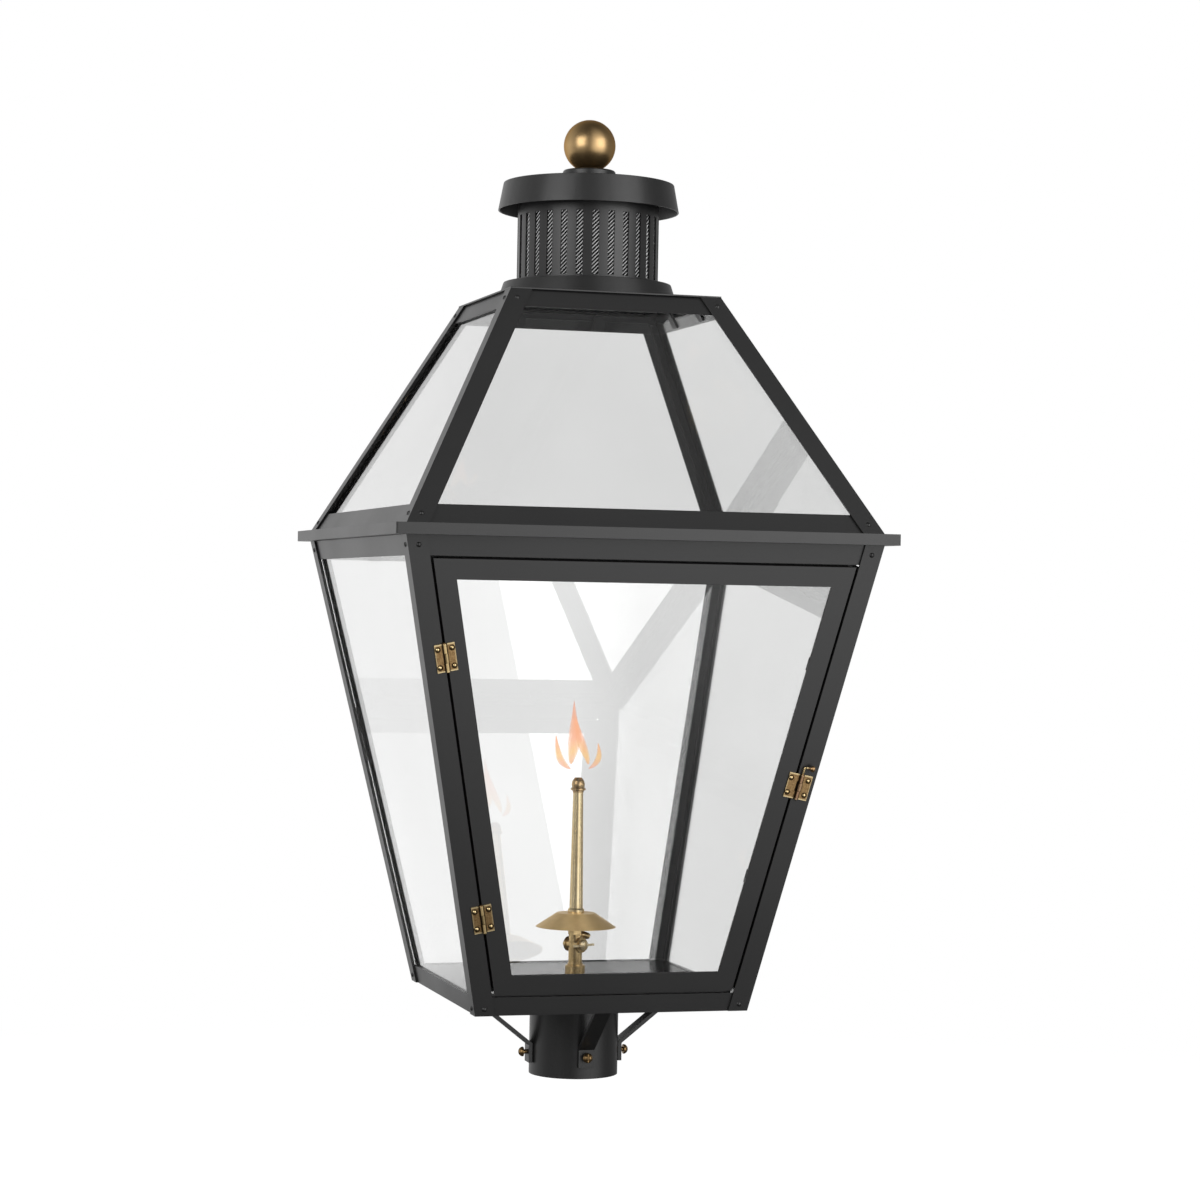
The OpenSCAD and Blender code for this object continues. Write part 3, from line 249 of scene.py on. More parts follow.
# Brass and bronze: patches of patina, and brushed lines. Where lineStretch is small the lines are long, and
# where it is large they lie close together. A metal share under 1 is for cast or unpolished brass, and on the
# valve key it is painted light as well.
brassWear = {
    "patina": [(0.35, 0), (0.68, 1)],
    "uneven": 0.10,
    "brushed": 0.10,
    "bump": 0.15,
    "bumpDepth": 0.04 * mm,
}
antiqueBrass = {
    "bright": (0.420, 0.276, 0.126),
    "dull": (0.220, 0.131, 0.058),
    # colour of the painted highlight on the leaves' rims
    "rim": (0.760, 0.600, 0.330),
    # nearly black: painted shade beside the knuckles and in the latch's slot, and dark patina with painted
    # shade round the rivets
    "patina": (0.020, 0.012, 0.006),
    "roughness": 0.30,
    "cloudScale": 620,
    "lineScale": 1400,
    "lineStretch": (1, 1, 0.3),
}
rivetBrass = {
    "bright": (0.860, 0.690, 0.380),
    "dull": (0.620, 0.430, 0.190),
    "roughness": 0.16,
    "cloudScale": 400,
    "lineScale": 900,
}
burnerBrass = {
    "bright": (0.920, 0.760, 0.470),
    "dull": (0.780, 0.600, 0.335),
    "roughness": 0.12,
    "metal": 0.90,
    "edge": (0.75, 0.62, 0.45),
    "cloudScale": 40,
    "lineScale": 700,
    "lineStretch": (0.15, 0.15, 3),
}
dishBrass = {
    "bright": (0.860, 0.615, 0.295),
    "dull": (0.720, 0.505, 0.230),
    "roughness": 0.32,
    "metal": 0.78,
    "cloudScale": 60,
    "lineScale": 900,
    "lineStretch": (0.15, 0.15, 4),
}
castBrass = {
    "bright": (0.920, 0.680, 0.340),
    "dull": (0.560, 0.380, 0.170),
    "roughness": 0.20,
    "metal": 0.92,
    "cloudScale": 260,
    "lineScale": 1200,
}
# Valve key: paler and less metallic than the cast brass, painted light that lifts it out of the dish's shade
keyBrass = {
    "bright": (0.980, 0.830, 0.540),
    "dull": (0.900, 0.710, 0.430),
    "roughness": 0.24,
    "metal": 0.60,
    "cloudScale": 120,
    "lineScale": 700,
}
tipBrass = {
    "bright": (0.720, 0.520, 0.280),
    "dull": (0.460, 0.300, 0.150),
    "roughness": 0.15,
    "cloudScale": 160,
    "lineScale": 900,
}
knobBronze = {
    "bright": (0.560, 0.370, 0.190),
    "dull": (0.320, 0.190, 0.090),
    "roughness": 0.15,
    "cloudScale": 300,
    "lineScale": 900,
}
finialBrass = {
    "bright": (0.520, 0.355, 0.175),
    "dull": (0.430, 0.280, 0.132),
    "roughness": 0.22,
    "metal": 0.97,
    "edge": (0.62, 0.48, 0.36),
    "cloudScale": 30,
    "lineScale": 700,
    "lineStretch": (0.15, 0.15, 3),
}


def makeBrass(name, b):
    material, shader = newFinish(name)
    cloud = noise(shader, objectPlace(shader), b["cloudScale"], detail=5, roughness=0.6)
    brushWay = objectPlace(shader, b.get("lineStretch", (1, 1, 1)))
    lines = noise(shader, brushWay, b["lineScale"], detail=2)
    patina = levels(shader, cloud, brassWear["patina"])
    surface = shader.add("BsdfPrincipled", {}, {
        "Base Color": shader.tint(patina, colour(b["bright"]), colour(b["dull"])),
        "Metallic": b.get("metal", 1.0),
        "Roughness": b["roughness"] + brassWear["uneven"] * cloud + brassWear["brushed"] * lines,
        "Specular Tint": colour(b.get("edge", (1, 1, 1))),
        "Normal": bump(shader, lines, brassWear["bump"], brassWear["bumpDepth"]),
    })
    shader.add("OutputMaterial", {}, {"Surface": surface})
    return material


# Steel wires, two copies of one steel: the outer family painted light and nearly white, the inner one painted
# shade and nearly black
steelMesh = {
    "bright": (0.88, 0.88, 0.88),
    "dark": (0.76, 0.76, 0.77),
    "metal": 0.15,
    "roughness": 0.30,
    "uneven": 0.2,
    "cloudScale": 90,
}
shadedMesh = {
    **steelMesh,
    "bright": (0.05, 0.05, 0.05),
    "dark": (0.02, 0.02, 0.02),
    "roughness": 0.60,
}


def makeSteelMesh(name, s):
    material, shader = newFinish(name)
    cloud = noise(shader, objectPlace(shader), s["cloudScale"])
    surface = shader.add("BsdfPrincipled", {}, {
        "Base Color": shader.tint(cloud, colour(s["bright"]), colour(s["dark"])),
        "Metallic": s["metal"],
        "Roughness": s["roughness"] + s["uneven"] * cloud,
    })
    shader.add("OutputMaterial", {}, {"Surface": surface})
    return material


# Glass: clear, with a faint uneven veil; the door's grey rising across the pane and the roof panes' darker
# tint are painted reflection
clearGlass = {
    "clear": (0.950, 0.952, 0.950),
    "veiled": (0.900, 0.902, 0.900),
    "index": 1.90,
    "cloudScale": 5,
    "veilAndReflection": [(0.30, 0), (0.70, 1)],
}
doorGlass = {
    **clearGlass,
    "clear": (0.975, 0.977, 0.975),
    "veiled": (0.850, 0.852, 0.850),
    "index": 1.30,
    "cloudScale": 4,
    "across": (-0.10, 0.02),  # painted reflection: the pane greys from the first place to the second, across the door
    "mix": (0.5, 0.75, -0.15),  # share of the cloud, share of the place, and shift
}
# Roof panes: a darker copy of the same glass, painted reflection
roofGlass = {
    **clearGlass,
    "clear": (0.890, 0.892, 0.890),
    "veiled": (0.850, 0.852, 0.850),
    "index": 1.45,
    "cloudScale": 6,
}


def makeClearGlass(name, g):
    material, shader = newFinish(name)
    place = objectPlace(shader)
    veilAndReflection = noise(shader, place, g["cloudScale"], detail=2)
    # On the door the grey also rises across the pane: painted reflection
    if "across" in g:
        cloudShare, placeShare, shift = g["mix"]
        veilAndReflection = cloudShare * veilAndReflection + placeShare * axisOf(shader, place, "X").ramp(*g["across"]) + shift
    glass = shader.add("BsdfPrincipled", {}, {
        "Base Color": shader.tint(levels(shader, veilAndReflection, g["veilAndReflection"]), colour(g["clear"]), colour(g["veiled"])),
        "Roughness": 0.0,
        "IOR": g["index"],
        "Transmission Weight": 1.0,
    })
    # Light reaches what is behind the pane
    passed = shader.add("BsdfTransparent", {}, {"Color": colour(g["clear"])})
    surface = shader.add("MixShader", {}, {0: rays(shader, "Shadow", "Diffuse"), 1: glass, 2: passed})
    shader.add("OutputMaterial", {}, {"Surface": surface})
    return material


# Leaves of the hinges and the latch: painted highlights on the rims and along the hinges' knuckles, painted
# shade beside the knuckles and in the latch's slot, and dark patina with painted shade round the rivets
frontFace = {
    "foot": (0, -126.5 * mm, 72 * mm),
    "lean": math.atan(89.5 / 421),
    "half": 126.5 * mm,  # half its width at the foot
    "spread": 89.5 / 430.41,  # gain of half width along the slope
}
# Pin lines: inset from the post's edge, level up the slope, and side
hingeLine = {"inset": 19.25 * mm, "level": 90 * mm, "side": -1}
latchLine = {"inset": 14.25 * mm, "level": 210 * mm, "side": 1}
leaves = {
    "hinge": {
        "line": hingeLine, "repeat": 239.0 * mm,  # from the lower hinge to the upper one
        "long": 12.5 * mm, "reach": 9.0 * mm, "rivet": (6.3 * mm, 8.0 * mm),
        # barrel: tone of the knuckle's middle band, lighter than the leaf: a painted highlight
        "barrel": (0.66, 0.50, 0.25), "nodes": ["hinge_post_leaves", "hinge_door_leaves"],
    },
    "latch_door": {
        "line": latchLine,
        "long": 11.5 * mm, "reach": 12.0 * mm, "rivet": (9.5 * mm, 6.75 * mm),
        "barrel": (0.40, 0.24, 0.15), "nodes": ["latch_door_leaf"],
        "slot": (2.7 * mm, 0.6 * mm, 4.2 * mm),  # place, half width and half length of the gap by the knuckle
    },
    "latch_post": {
        "line": latchLine,
        "long": 11.5 * mm, "reach": 10.4 * mm, "rivet": (7.0 * mm, 6.75 * mm),
        "barrel": (0.46, 0.30, 0.18), "nodes": ["latch_post_leaf"],
    },
}
leafMarks = {
    "endRim": (-1.5 * mm, -0.9 * mm),  # from the leaf's end
    "sideRim": (-1.0 * mm, -0.5 * mm),
    "sideShare": 0.6,
    # The ring round each rivet is dark patina with painted shade; the band beside the knuckle and the slot
    # are painted shade
    "ring": (2.2 * mm, 3.0 * mm),  # from the rivet's middle
    "knuckle": 1.85 * mm,
    "seamShade": (0.4 * mm, 0.9 * mm),
    "seamShare": 0.85,
    "slotBlur": (0.3 * mm, 0.5 * mm),
    "barrel": (0.6, 0.95),  # shares of the knuckle's radius
    "barrelShare": 0.8,
    "wearScale": 700,
    "wear": (0.35, 0.65),
    "uneven": 0.15,
    "bump": 0.25,
    "bumpDepth": 0.08 * mm,
}


def onFront(line):
    # Frame on the front face: x across, y into the lantern, z along the post's edge
    f = frontFace
    across = line["side"] * (f["half"] + f["spread"] * line["level"] - line["inset"])
    face = Matrix.Translation(f["foot"]) @ Matrix.Rotation(f["lean"], 4, "X")
    lean = Matrix.Rotation(line["side"] * math.atan(f["spread"]), 4, "Y")
    return face @ Matrix.Translation((across, 0, line["level"])) @ lean


def makeLeafBrass(name, b, leaf, m):
    material, shader = newFinish(name)
    frameHere = onFront(leaf["line"])
    local = shader.add("Mapping", {"vector_type": "TEXTURE"}, {
        "Vector": shader.add("TexCoord", out="Object"),
        "Location": frameHere.to_translation(), "Rotation": frameHere.to_euler(),
    })
    across = abs(axisOf(shader, local, "X"))
    height = axisOf(shader, local, "Z")
    if "repeat" in leaf:
        half = leaf["repeat"] / 2
        height = shader.add("Math", {"operation": "WRAP"}, {0: height, 1: half, 2: -half})
    along = abs(height)
    rivetX, rivetZ = leaf["rivet"]
    apart = shader.add("CombineXYZ", {}, {0: across - rivetX, 1: along - rivetZ})
    apart = shader.add("VectorMath", {"operation": "LENGTH"}, {0: apart}, out=1)
    # Painted highlight along the leaf's ends and sides, where a rounded edge would catch the light
    rim = along.ramp(*(leaf["long"] + edge for edge in m["endRim"]))
    rim = rim | m["sideShare"] * across.ramp(*(leaf["reach"] + edge for edge in m["sideRim"]))
    # Dark patina with painted shade round each rivet head, and painted shade in the crease where the knuckle
    # meets the leaf
    ring = 1 - apart.ramp(*m["ring"])
    seamShade = 1 - abs(across - m["knuckle"]).ramp(*m["seamShade"])
    dark = ring | m["seamShare"] * seamShade
    # Painted shade in the gap by the latch's knuckle
    if "slot" in leaf:
        place, half, long = leaf["slot"]
        blurX, blurZ = m["slotBlur"]
        beside = 1 - abs(across - place).ramp(half, half + blurX)
        dark = dark | beside * (1 - along.ramp(long, long + blurZ))
    # The knuckle's middle band gets its own tone: lighter on the hinges, a painted highlight
    barrel = 1 - across.ramp(*(share * m["knuckle"] for share in m["barrel"]))
    wear = noise(shader, local, m["wearScale"], detail=4, roughness=0.6)
    tone = shader.tint(wear.ramp(*m["wear"]), colour(b["bright"]), colour(b["dull"]))
    tone = shader.tint(rim * (1 - ring), tone, colour(b["rim"]))
    tone = shader.tint(m["barrelShare"] * barrel, tone, colour(leaf["barrel"]))
    tone = shader.tint(dark, tone, colour(b["patina"]))
    surface = shader.add("BsdfPrincipled", {}, {
        "Base Color": tone,
        "Metallic": 1.0,
        "Roughness": b["roughness"] + m["uneven"] * wear,
        "Normal": bump(shader, wear, m["bump"], m["bumpDepth"]),
    })
    shader.add("OutputMaterial", {}, {"Surface": surface})
    return material


finishes = {
    "black_paint": makeBlackPaint("satin_black_paint", blackPaint),
    "antique_brass": makeBrass("antique_brass", antiqueBrass),
    "burner_brass": makeBrass("burner_brass", burnerBrass),
    "finial_brass": makeBrass("finial_brass", finialBrass),
    "steel_mesh": makeSteelMesh("woven_steel", steelMesh),
    "clear_glass": makeClearGlass("clear_glass", clearGlass),
}
castFinish = makeBrass("cast_brass", castBrass)
rivetFinish = makeBrass("rivet_brass", rivetBrass)
doorPane = makeClearGlass("door_glass", doorGlass)
roofPane = makeClearGlass("roof_glass", roofGlass)
ownFinish = {
    "floor_plate": makeBlackPaint("glossy_black_paint", glossyPaint),
    "burner_dish": makeBrass("dish_brass", dishBrass),
    "burner_tip": makeBrass("tip_brass", tipBrass),
    "valve_key": makeBrass("key_brass", keyBrass),
    "valve_body": castFinish,
    "valve_nut": castFinish,
    "gas_coupling": castFinish,
    "post_leaf_rivets": rivetFinish,
    "door_leaf_rivets": rivetFinish,
    "door_glass": doorPane,
    "roof_pane_front": roofPane,
    "roof_pane_right": roofPane,
    "roof_pane_back": roofPane,
    "roof_pane_left": roofPane,
}
for name, node in nodes.items():
    for materialSlot in node.material_slots:
        materialSlot.material = finishes[slotOf[name]]
print("finishes made:", ", ".join(finishes))


def finishOf(node):
    return ownFinish.get(node, finishes[slotOf[node]])


def newObject(name, bm, material):
    mesh = bpy.data.meshes.new(name)
    bm.to_mesh(mesh)
    bm.free()
    mesh.materials.append(material)
    thing = bpy.data.objects.new(name, mesh)
    bpy.context.scene.collection.objects.link(thing)
    return thing


def addPiece(name, bm, material, body, replaced=()):
    piece = newObject(name, bm, material)
    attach(piece, body)
    if replaced:
        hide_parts(*replaced)
    return piece


def replaceNode(node, bm, material):
    return addPiece(node + "_finished", bm, material, bodyOf[node], [node])


def vertsIn(geom):
    return [item for item in geom if isinstance(item, bmesh.types.BMVert)]


def edgesIn(geom):
    return [item for item in geom if isinstance(item, bmesh.types.BMEdge)]


def startRing(bm, segments, radius, matrix=Matrix()):
    # A capped circle to extrude from: its vertices and edges
    ring = bmesh.ops.create_circle(
        bm, cap_ends=True, segments=segments, radius=radius, matrix=matrix
    )["verts"]
    edges = dict.fromkeys(edge for vert in ring for edge in vert.link_edges)
    return ring, list(edges)


def growRing(bm, edges):
    # Extrudes a ring or a chain of edges where it stands: the new vertices and edges
    grown = bmesh.ops.extrude_edge_only(bm, edges=edges)["geom"]
    return vertsIn(grown), edgesIn(grown)


def flatCaps(bm):
    # Smooth walls, and ends that stay flat
    for face in bm.faces:
        face.smooth = len(face.verts) <= 4


# Folded sheet and turned parts get the small radius that catches the light
softEdges = {
    "radius": 0.45 * mm,
    "segments": 2,
    "sharp": 32,  # degrees
    "shading": 80,  # how far large faces lead the shading
    "nodes": [
        "bottom_rail_front", "bottom_rail_right", "bottom_rail_back", "bottom_rail_left",
        "corner_post_front_left", "corner_post_front_right", "corner_post_back_right",
        "corner_post_back_left", "upper_rail_front", "upper_rail_right", "upper_rail_back",
        "upper_rail_left", "eave", "roof_hip_front_left", "roof_hip_front_right",
        "roof_hip_back_right", "roof_hip_back_left", "roof_base_rails", "roof_top_rails",
        "top_plate", "vent_base", "vent_cylinder", "vent_cap", "finial_collar", "post_fitter",
        "braces", "floor_plate", "door_frame", "gas_coupling", "valve_body", "burner_dish",
    ],
    "fine": {
        "hinge_post_leaves": 0.18 * mm, "hinge_door_leaves": 0.18 * mm,
        "latch_post_leaf": 0.18 * mm, "latch_door_leaf": 0.18 * mm,
        "vent_cylinder": 0.25 * mm, "gas_coupling": 0.3 * mm, "valve_body": 0.3 * mm,
        "burner_dish": 0.25 * mm,
    },
}


copying = {"weld": 0.002 * mm, "flat": 0.6}  # flat in degrees


def mergedCopy(node):
    bm = bmesh.new()
    bm.from_mesh(nodes[node].data)
    bmesh.ops.remove_doubles(bm, verts=bm.verts, dist=copying["weld"])
    bmesh.ops.dissolve_degenerate(bm, edges=bm.edges, dist=copying["weld"])
    return bm


def flatCopy(node):
    # One face for each flat side
    bm = mergedCopy(node)
    bmesh.ops.dissolve_limit(
        bm, angle_limit=math.radians(copying["flat"]), verts=bm.verts, edges=bm.edges, delimit=set()
    )
    return bm


def softCopy(node, material, s):
    bm = flatCopy(node)
    limit = math.radians(s["sharp"])
    crisp = [edge for edge in bm.edges if edge.is_manifold and edge.calc_face_angle(0) > limit]
    bmesh.ops.bevel(
        bm, geom=crisp, offset=s["fine"].get(node, s["radius"]), offset_type="OFFSET",
        affect="EDGES", segments=s["segments"], profile=0.5, material=-1,
        clamp_overlap=True, loop_slide=True,
    )
    for face in bm.faces:
        face.smooth = True
    normals = replaceNode(node, bm, material).modifiers.new("even_shading", "WEIGHTED_NORMAL")
    normals.keep_sharp = True
    normals.weight = s["shading"]


for node in softEdges["nodes"]:
    softCopy(node, finishOf(node), softEdges)
for name, leaf in leaves.items():
    leafBrass = makeLeafBrass(name + "_leaf_brass", antiqueBrass, leaf, leafMarks)
    for node in leaf["nodes"]:
        softCopy(node, leafBrass, softEdges)
print("edges softened")


# Small turned parts keep their shape and only get smooth shading
smoothParts = {
    "sharp": 24,  # degrees
    "nodes": [
        "frame_fasteners", "fitter_screws", "vent_rod", "finial_ball", "hinge_pins",
        "gas_inlet", "valve_key", "valve_nut", "burner_tube", "burner_tip",
        "post_leaf_rivets", "door_leaf_rivets",
    ],
}


def smoothCopy(node, material, sharp):
    bm = mergedCopy(node)
    for face in bm.faces:
        face.smooth = True
    for edge in bm.edges:
        edge.smooth = edge.is_manifold and edge.calc_face_angle(0) < math.radians(sharp)
    replaceNode(node, bm, material)


for node in smoothParts["nodes"]:
    smoothCopy(node, finishOf(node), smoothParts["sharp"])
print("parts smoothed:", len(smoothParts["nodes"]))


# Latch pin: a wire bent over at its top, with a drop-shaped knob on its arm
latchPin = {
    "proud": 2.15 * mm,  # from the face to the wire's middle
    "low": -12.5 * mm,
    "top": 18.5 * mm,
    "radius": 0.95 * mm,
    "bend": 1.6 * mm,
    "bendSteps": 8,
    "arm": 1.6 * mm,
    "armLap": 0.5 * mm,  # its end inside the knob
    "armTurn": 26,  # degrees, towards the lantern's front
    "armDrop": -6,
    "knob": [  # distance along the arm and radius, in mm
        (0.0, 0.0), (0.05, 1.0), (0.9, 1.2), (1.9, 1.8), (2.9, 2.5), (4.0, 2.95), (5.1, 2.7),
        (5.9, 1.9), (6.3, 0.9), (6.4, 0.0),
    ],
    "sides": 24,
    "weld": 0.001 * mm,
}


def makeLatchPin(p):
    drop = math.radians(p["armDrop"])
    elbow = Vector((p["bend"], 0, p["top"] - p["bend"]))  # centre of the bend
    ahead = Vector((math.cos(drop), 0, -math.sin(drop)))
    bm = bmesh.new()
    profile = [bm.verts.new((radius * mm, 0, place * mm)) for place, radius in p["knob"]]
    outline = [bm.edges.new(pair) for pair in zip(profile, profile[1:])]
    bmesh.ops.spin(
        bm, geom=profile + outline, cent=(0, 0, 0), axis=(0, 0, 1), angle=2 * math.pi,
        steps=p["sides"], use_merge=True,
    )
    armEnd = elbow + p["bend"] * Vector((math.sin(drop), 0, math.cos(drop))) + ahead * p["arm"]
    aim = Matrix.Translation(armEnd) @ Matrix.Rotation(math.radians(90) + drop, 4, "Y")
    bmesh.ops.transform(bm, matrix=aim, verts=bm.verts)
    for face in bm.faces:
        face.material_index = 1

    foot = Matrix.Translation((0, 0, p["low"]))
    edges = startRing(bm, p["sides"], p["radius"], foot)[1]
    ring, edges = growRing(bm, edges)
    bmesh.ops.translate(bm, vec=(0, 0, elbow.z - p["low"]), verts=ring)
    edges = edgesIn(bmesh.ops.spin(
        bm, geom=edges, cent=elbow, axis=(0, 1, 0), angle=math.radians(90) + drop, steps=p["bendSteps"]
    )["geom_last"])
    ring, edges = growRing(bm, edges)
    bmesh.ops.translate(bm, vec=ahead * (p["arm"] + p["armLap"]), verts=ring)
    bmesh.ops.contextual_create(bm, geom=edges)
    bmesh.ops.remove_doubles(bm, verts=bm.verts, dist=p["weld"])
    bmesh.ops.recalc_face_normals(bm, faces=bm.faces)
    flatCaps(bm)
    place = onFront(latchLine) @ Matrix.Translation((0, -p["proud"], 0))
    turn = Matrix.Rotation(math.radians(-p["armTurn"]), 4, "Z")
    bmesh.ops.transform(bm, matrix=place @ turn, verts=bm.verts)
    pin = replaceNode("latch_pin", bm, rivetFinish)
    pin.data.materials.append(makeBrass("knob_bronze", knobBronze))


makeLatchPin(latchPin)
print("latch pin bent")


# Bent arm on the gas cock's barrel, with a slotted screw in its end
cockArm = {
    "plug": (0, 0, 119.5 * mm),
    "plugTurn": 29,  # degrees, from the front to the right
    # sideways, up and out from the plug, and radius, in mm
    "stations": [(0, 5.0, -1.0, 4.0), (2.5, 8.2, 0.8, 3.8), (6.2, 8.9, 3.0, 3.4), (9.4, 7.9, 5.2, 3.1),
                 (11.0, 7.3, 6.0, 3.0)],
    "sides": 16,
    "sharp": 60,  # degrees
    "rounding": 0.5 * mm,
    "roundingSteps": 3,
    "screw": 2.3 * mm,  # radius
    "screwSides": 24,
    "slot": 0.45 * mm,  # half of its width
    "proud": 0.9 * mm,
    "slotTurn": 35,  # degrees
}


def addScrewHalf(bm, a, aim, side):
    half = bmesh.new()
    bmesh.ops.create_circle(half, segments=a["screwSides"], radius=a["screw"], cap_ends=True)
    bmesh.ops.bisect_plane(
        half, geom=half.verts[:] + half.edges[:] + half.faces[:],
        plane_co=(side * a["slot"], 0, 0), plane_no=(side, 0, 0), clear_inner=True,
    )
    raised = vertsIn(bmesh.ops.extrude_face_region(half, geom=half.faces[:])["geom"])
    bmesh.ops.translate(half, vec=(0, 0, a["proud"]), verts=raised)
    bmesh.ops.transform(half, matrix=aim, verts=half.verts)
    bmesh.ops.recalc_face_normals(half, faces=half.faces)
    mesh = bpy.data.meshes.new("screw_half")
    half.to_mesh(mesh)
    half.free()
    bm.from_mesh(mesh)
    bpy.data.meshes.remove(mesh)


def makeCockArm(a):
    turn = Matrix.Rotation(math.radians(a["plugTurn"]), 4, "Z") @ Matrix.Rotation(math.radians(90), 4, "X")
    plug = Matrix.Translation(a["plug"]) @ turn
    places = [Vector(station[:3]) * mm for station in a["stations"]]
    radii = [station[3] * mm for station in a["stations"]]
    ahead = [after - before for before, after in zip(places, places[1:])]
    ahead.append(ahead[-1])
    aims = [
        Matrix.Translation(place) @ way.to_track_quat("Z", "Y").to_matrix().to_4x4()
        for place, way in zip(places, ahead)
    ]
    sized = [aim @ Matrix.Scale(radius, 4) for aim, radius in zip(aims, radii)]
    bm = bmesh.new()
    edges = startRing(bm, a["sides"], 1, sized[0])[1]
    for before, after in zip(sized, sized[1:]):
        ring, edges = growRing(bm, edges)
        bmesh.ops.transform(bm, matrix=after @ before.inverted(), verts=ring)
    bmesh.ops.contextual_create(bm, geom=edges)
    bmesh.ops.recalc_face_normals(bm, faces=bm.faces)
    crisp = [edge for edge in bm.edges if edge.calc_face_angle(0) > math.radians(a["sharp"])]
    bmesh.ops.bevel(
        bm, geom=crisp, offset=a["rounding"], offset_type="OFFSET", affect="EDGES",
        segments=a["roundingSteps"], profile=0.5, material=-1, clamp_overlap=True,
    )
    flatCaps(bm)
    screwAim = aims[-1] @ Matrix.Rotation(math.radians(a["slotTurn"]), 4, "Z")
    for side in (-1, 1):
        addScrewHalf(bm, a, screwAim, side)
    bmesh.ops.transform(bm, matrix=plug, verts=bm.verts)
    addPiece("cock_arm", bm, castFinish, "lantern")


makeCockArm(cockArm)
print("gas cock's arm bent")


# Sill: a small angle on the floor plate that closes the gap under the door
doorSill = {
    "front": -119.7 * mm,  # middle of the upright leg
    "foot": 88.62 * mm,  # middle of the flat leg, which lies on the floor plate
    "rise": 2.5 * mm,  # ends just under the door stop
    "depth": 6.5 * mm,
    "half": 112.5 * mm,
    "sheet": 1.2 * mm,
    "radius": 0.3 * mm,
    "segments": 2,
}


def makeDoorSill(d):
    bm = bmesh.new()
    corner = Vector((-d["half"], d["front"], d["foot"]))
    ends = [corner + Vector((0, d["depth"], 0)), corner, corner + Vector((0, 0, d["rise"]))]
    verts = [bm.verts.new(end) for end in ends]
    edges = [bm.edges.new(pair) for pair in zip(verts, verts[1:])]
    far = growRing(bm, edges)[0]
    bmesh.ops.translate(bm, vec=(2 * d["half"], 0, 0), verts=far)
    bmesh.ops.recalc_face_normals(bm, faces=bm.faces)
    piece = addPiece("door_sill", bm, finishes["black_paint"], "lantern")
    wall = piece.modifiers.new("wall", "SOLIDIFY")
    wall.thickness = d["sheet"]
    wall.offset = 0
    wall.use_even_offset = True
    fold = piece.modifiers.new("fold", "BEVEL")
    fold.width = d["radius"]
    fold.segments = d["segments"]


makeDoorSill(doorSill)
print("door sill folded")


# Panes, a hair thinner than their seats, so that glass and metal faces never coincide
panes = {"shrink": 0.06 * mm}


def glaze(p):
    for node, slot in slotOf.items():
        if slot != "clear_glass":
            continue
        bm = flatCopy(node)
        bm.normal_update()
        inward = {vert: vert.normal * vert.calc_shell_factor() * p["shrink"] for vert in bm.verts}
        for vert, step in inward.items():
            vert.co -= step
        replaceNode(node, bm, finishOf(node))


glaze(panes)
print("panes glazed")


# Wire cloth behind the chimney slots: two families of wires wound opposite ways
wireCloth = {
    "pitch": 2.6 * mm,  # between neighbouring wires, square to them
    "wire": 0.42 * mm,  # radius of one wire
    "gap": 0.02 * mm,
    "climb": 45,  # degrees
    "sides": 4,
    "steps": 10,
}


def weaveCloth(w):
    low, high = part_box("vent_mesh")
    radius = high.x - 2 * w["wire"]
    height = high.z - low.z
    climb = math.radians(w["climb"])
    turn = height / math.tan(climb) / radius
    count = round(2 * math.pi * radius * math.sin(climb) / w["pitch"])
    bm = bmesh.new()
    for way in (-1, 1):
        wire = bmesh.new()
        circleRadius = radius + way * (w["wire"] + w["gap"])
        place = Matrix.Translation((circleRadius, 0, low.z)) @ Matrix.Rotation(-way * climb, 4, "X")
        bmesh.ops.create_circle(
            wire, segments=w["sides"], radius=w["wire"], cap_ends=True, matrix=place
        )
        bmesh.ops.spin(
            wire, geom=wire.verts[:] + wire.edges[:] + wire.faces[:], cent=(0, 0, 0), axis=(0, 0, 1),
            dvec=(0, 0, height / w["steps"]), angle=way * turn, steps=w["steps"],
        )
        bmesh.ops.recalc_face_normals(wire, faces=wire.faces)
        for face in wire.faces:
            # The inner family takes the second finish, painted shade
            face.material_index = way < 0
        mesh = bpy.data.meshes.new("wire")
        wire.to_mesh(mesh)
        wire.free()
        for number in range(count):
            start = len(bm.verts)
            bm.from_mesh(mesh)
            bm.verts.ensure_lookup_table()
            step = Matrix.Rotation(2 * math.pi * number / count, 4, "Z")
            bmesh.ops.transform(bm, matrix=step, verts=bm.verts[start:])
        bpy.data.meshes.remove(mesh)
    cloth = addPiece(
        "vent_mesh_wires", bm, finishes["steel_mesh"], "lantern", ["vent_mesh"]
    )
    cloth.data.materials.append(makeSteelMesh("shaded_steel", shadedMesh))


weaveCloth(wireCloth)
print("wire cloth woven")


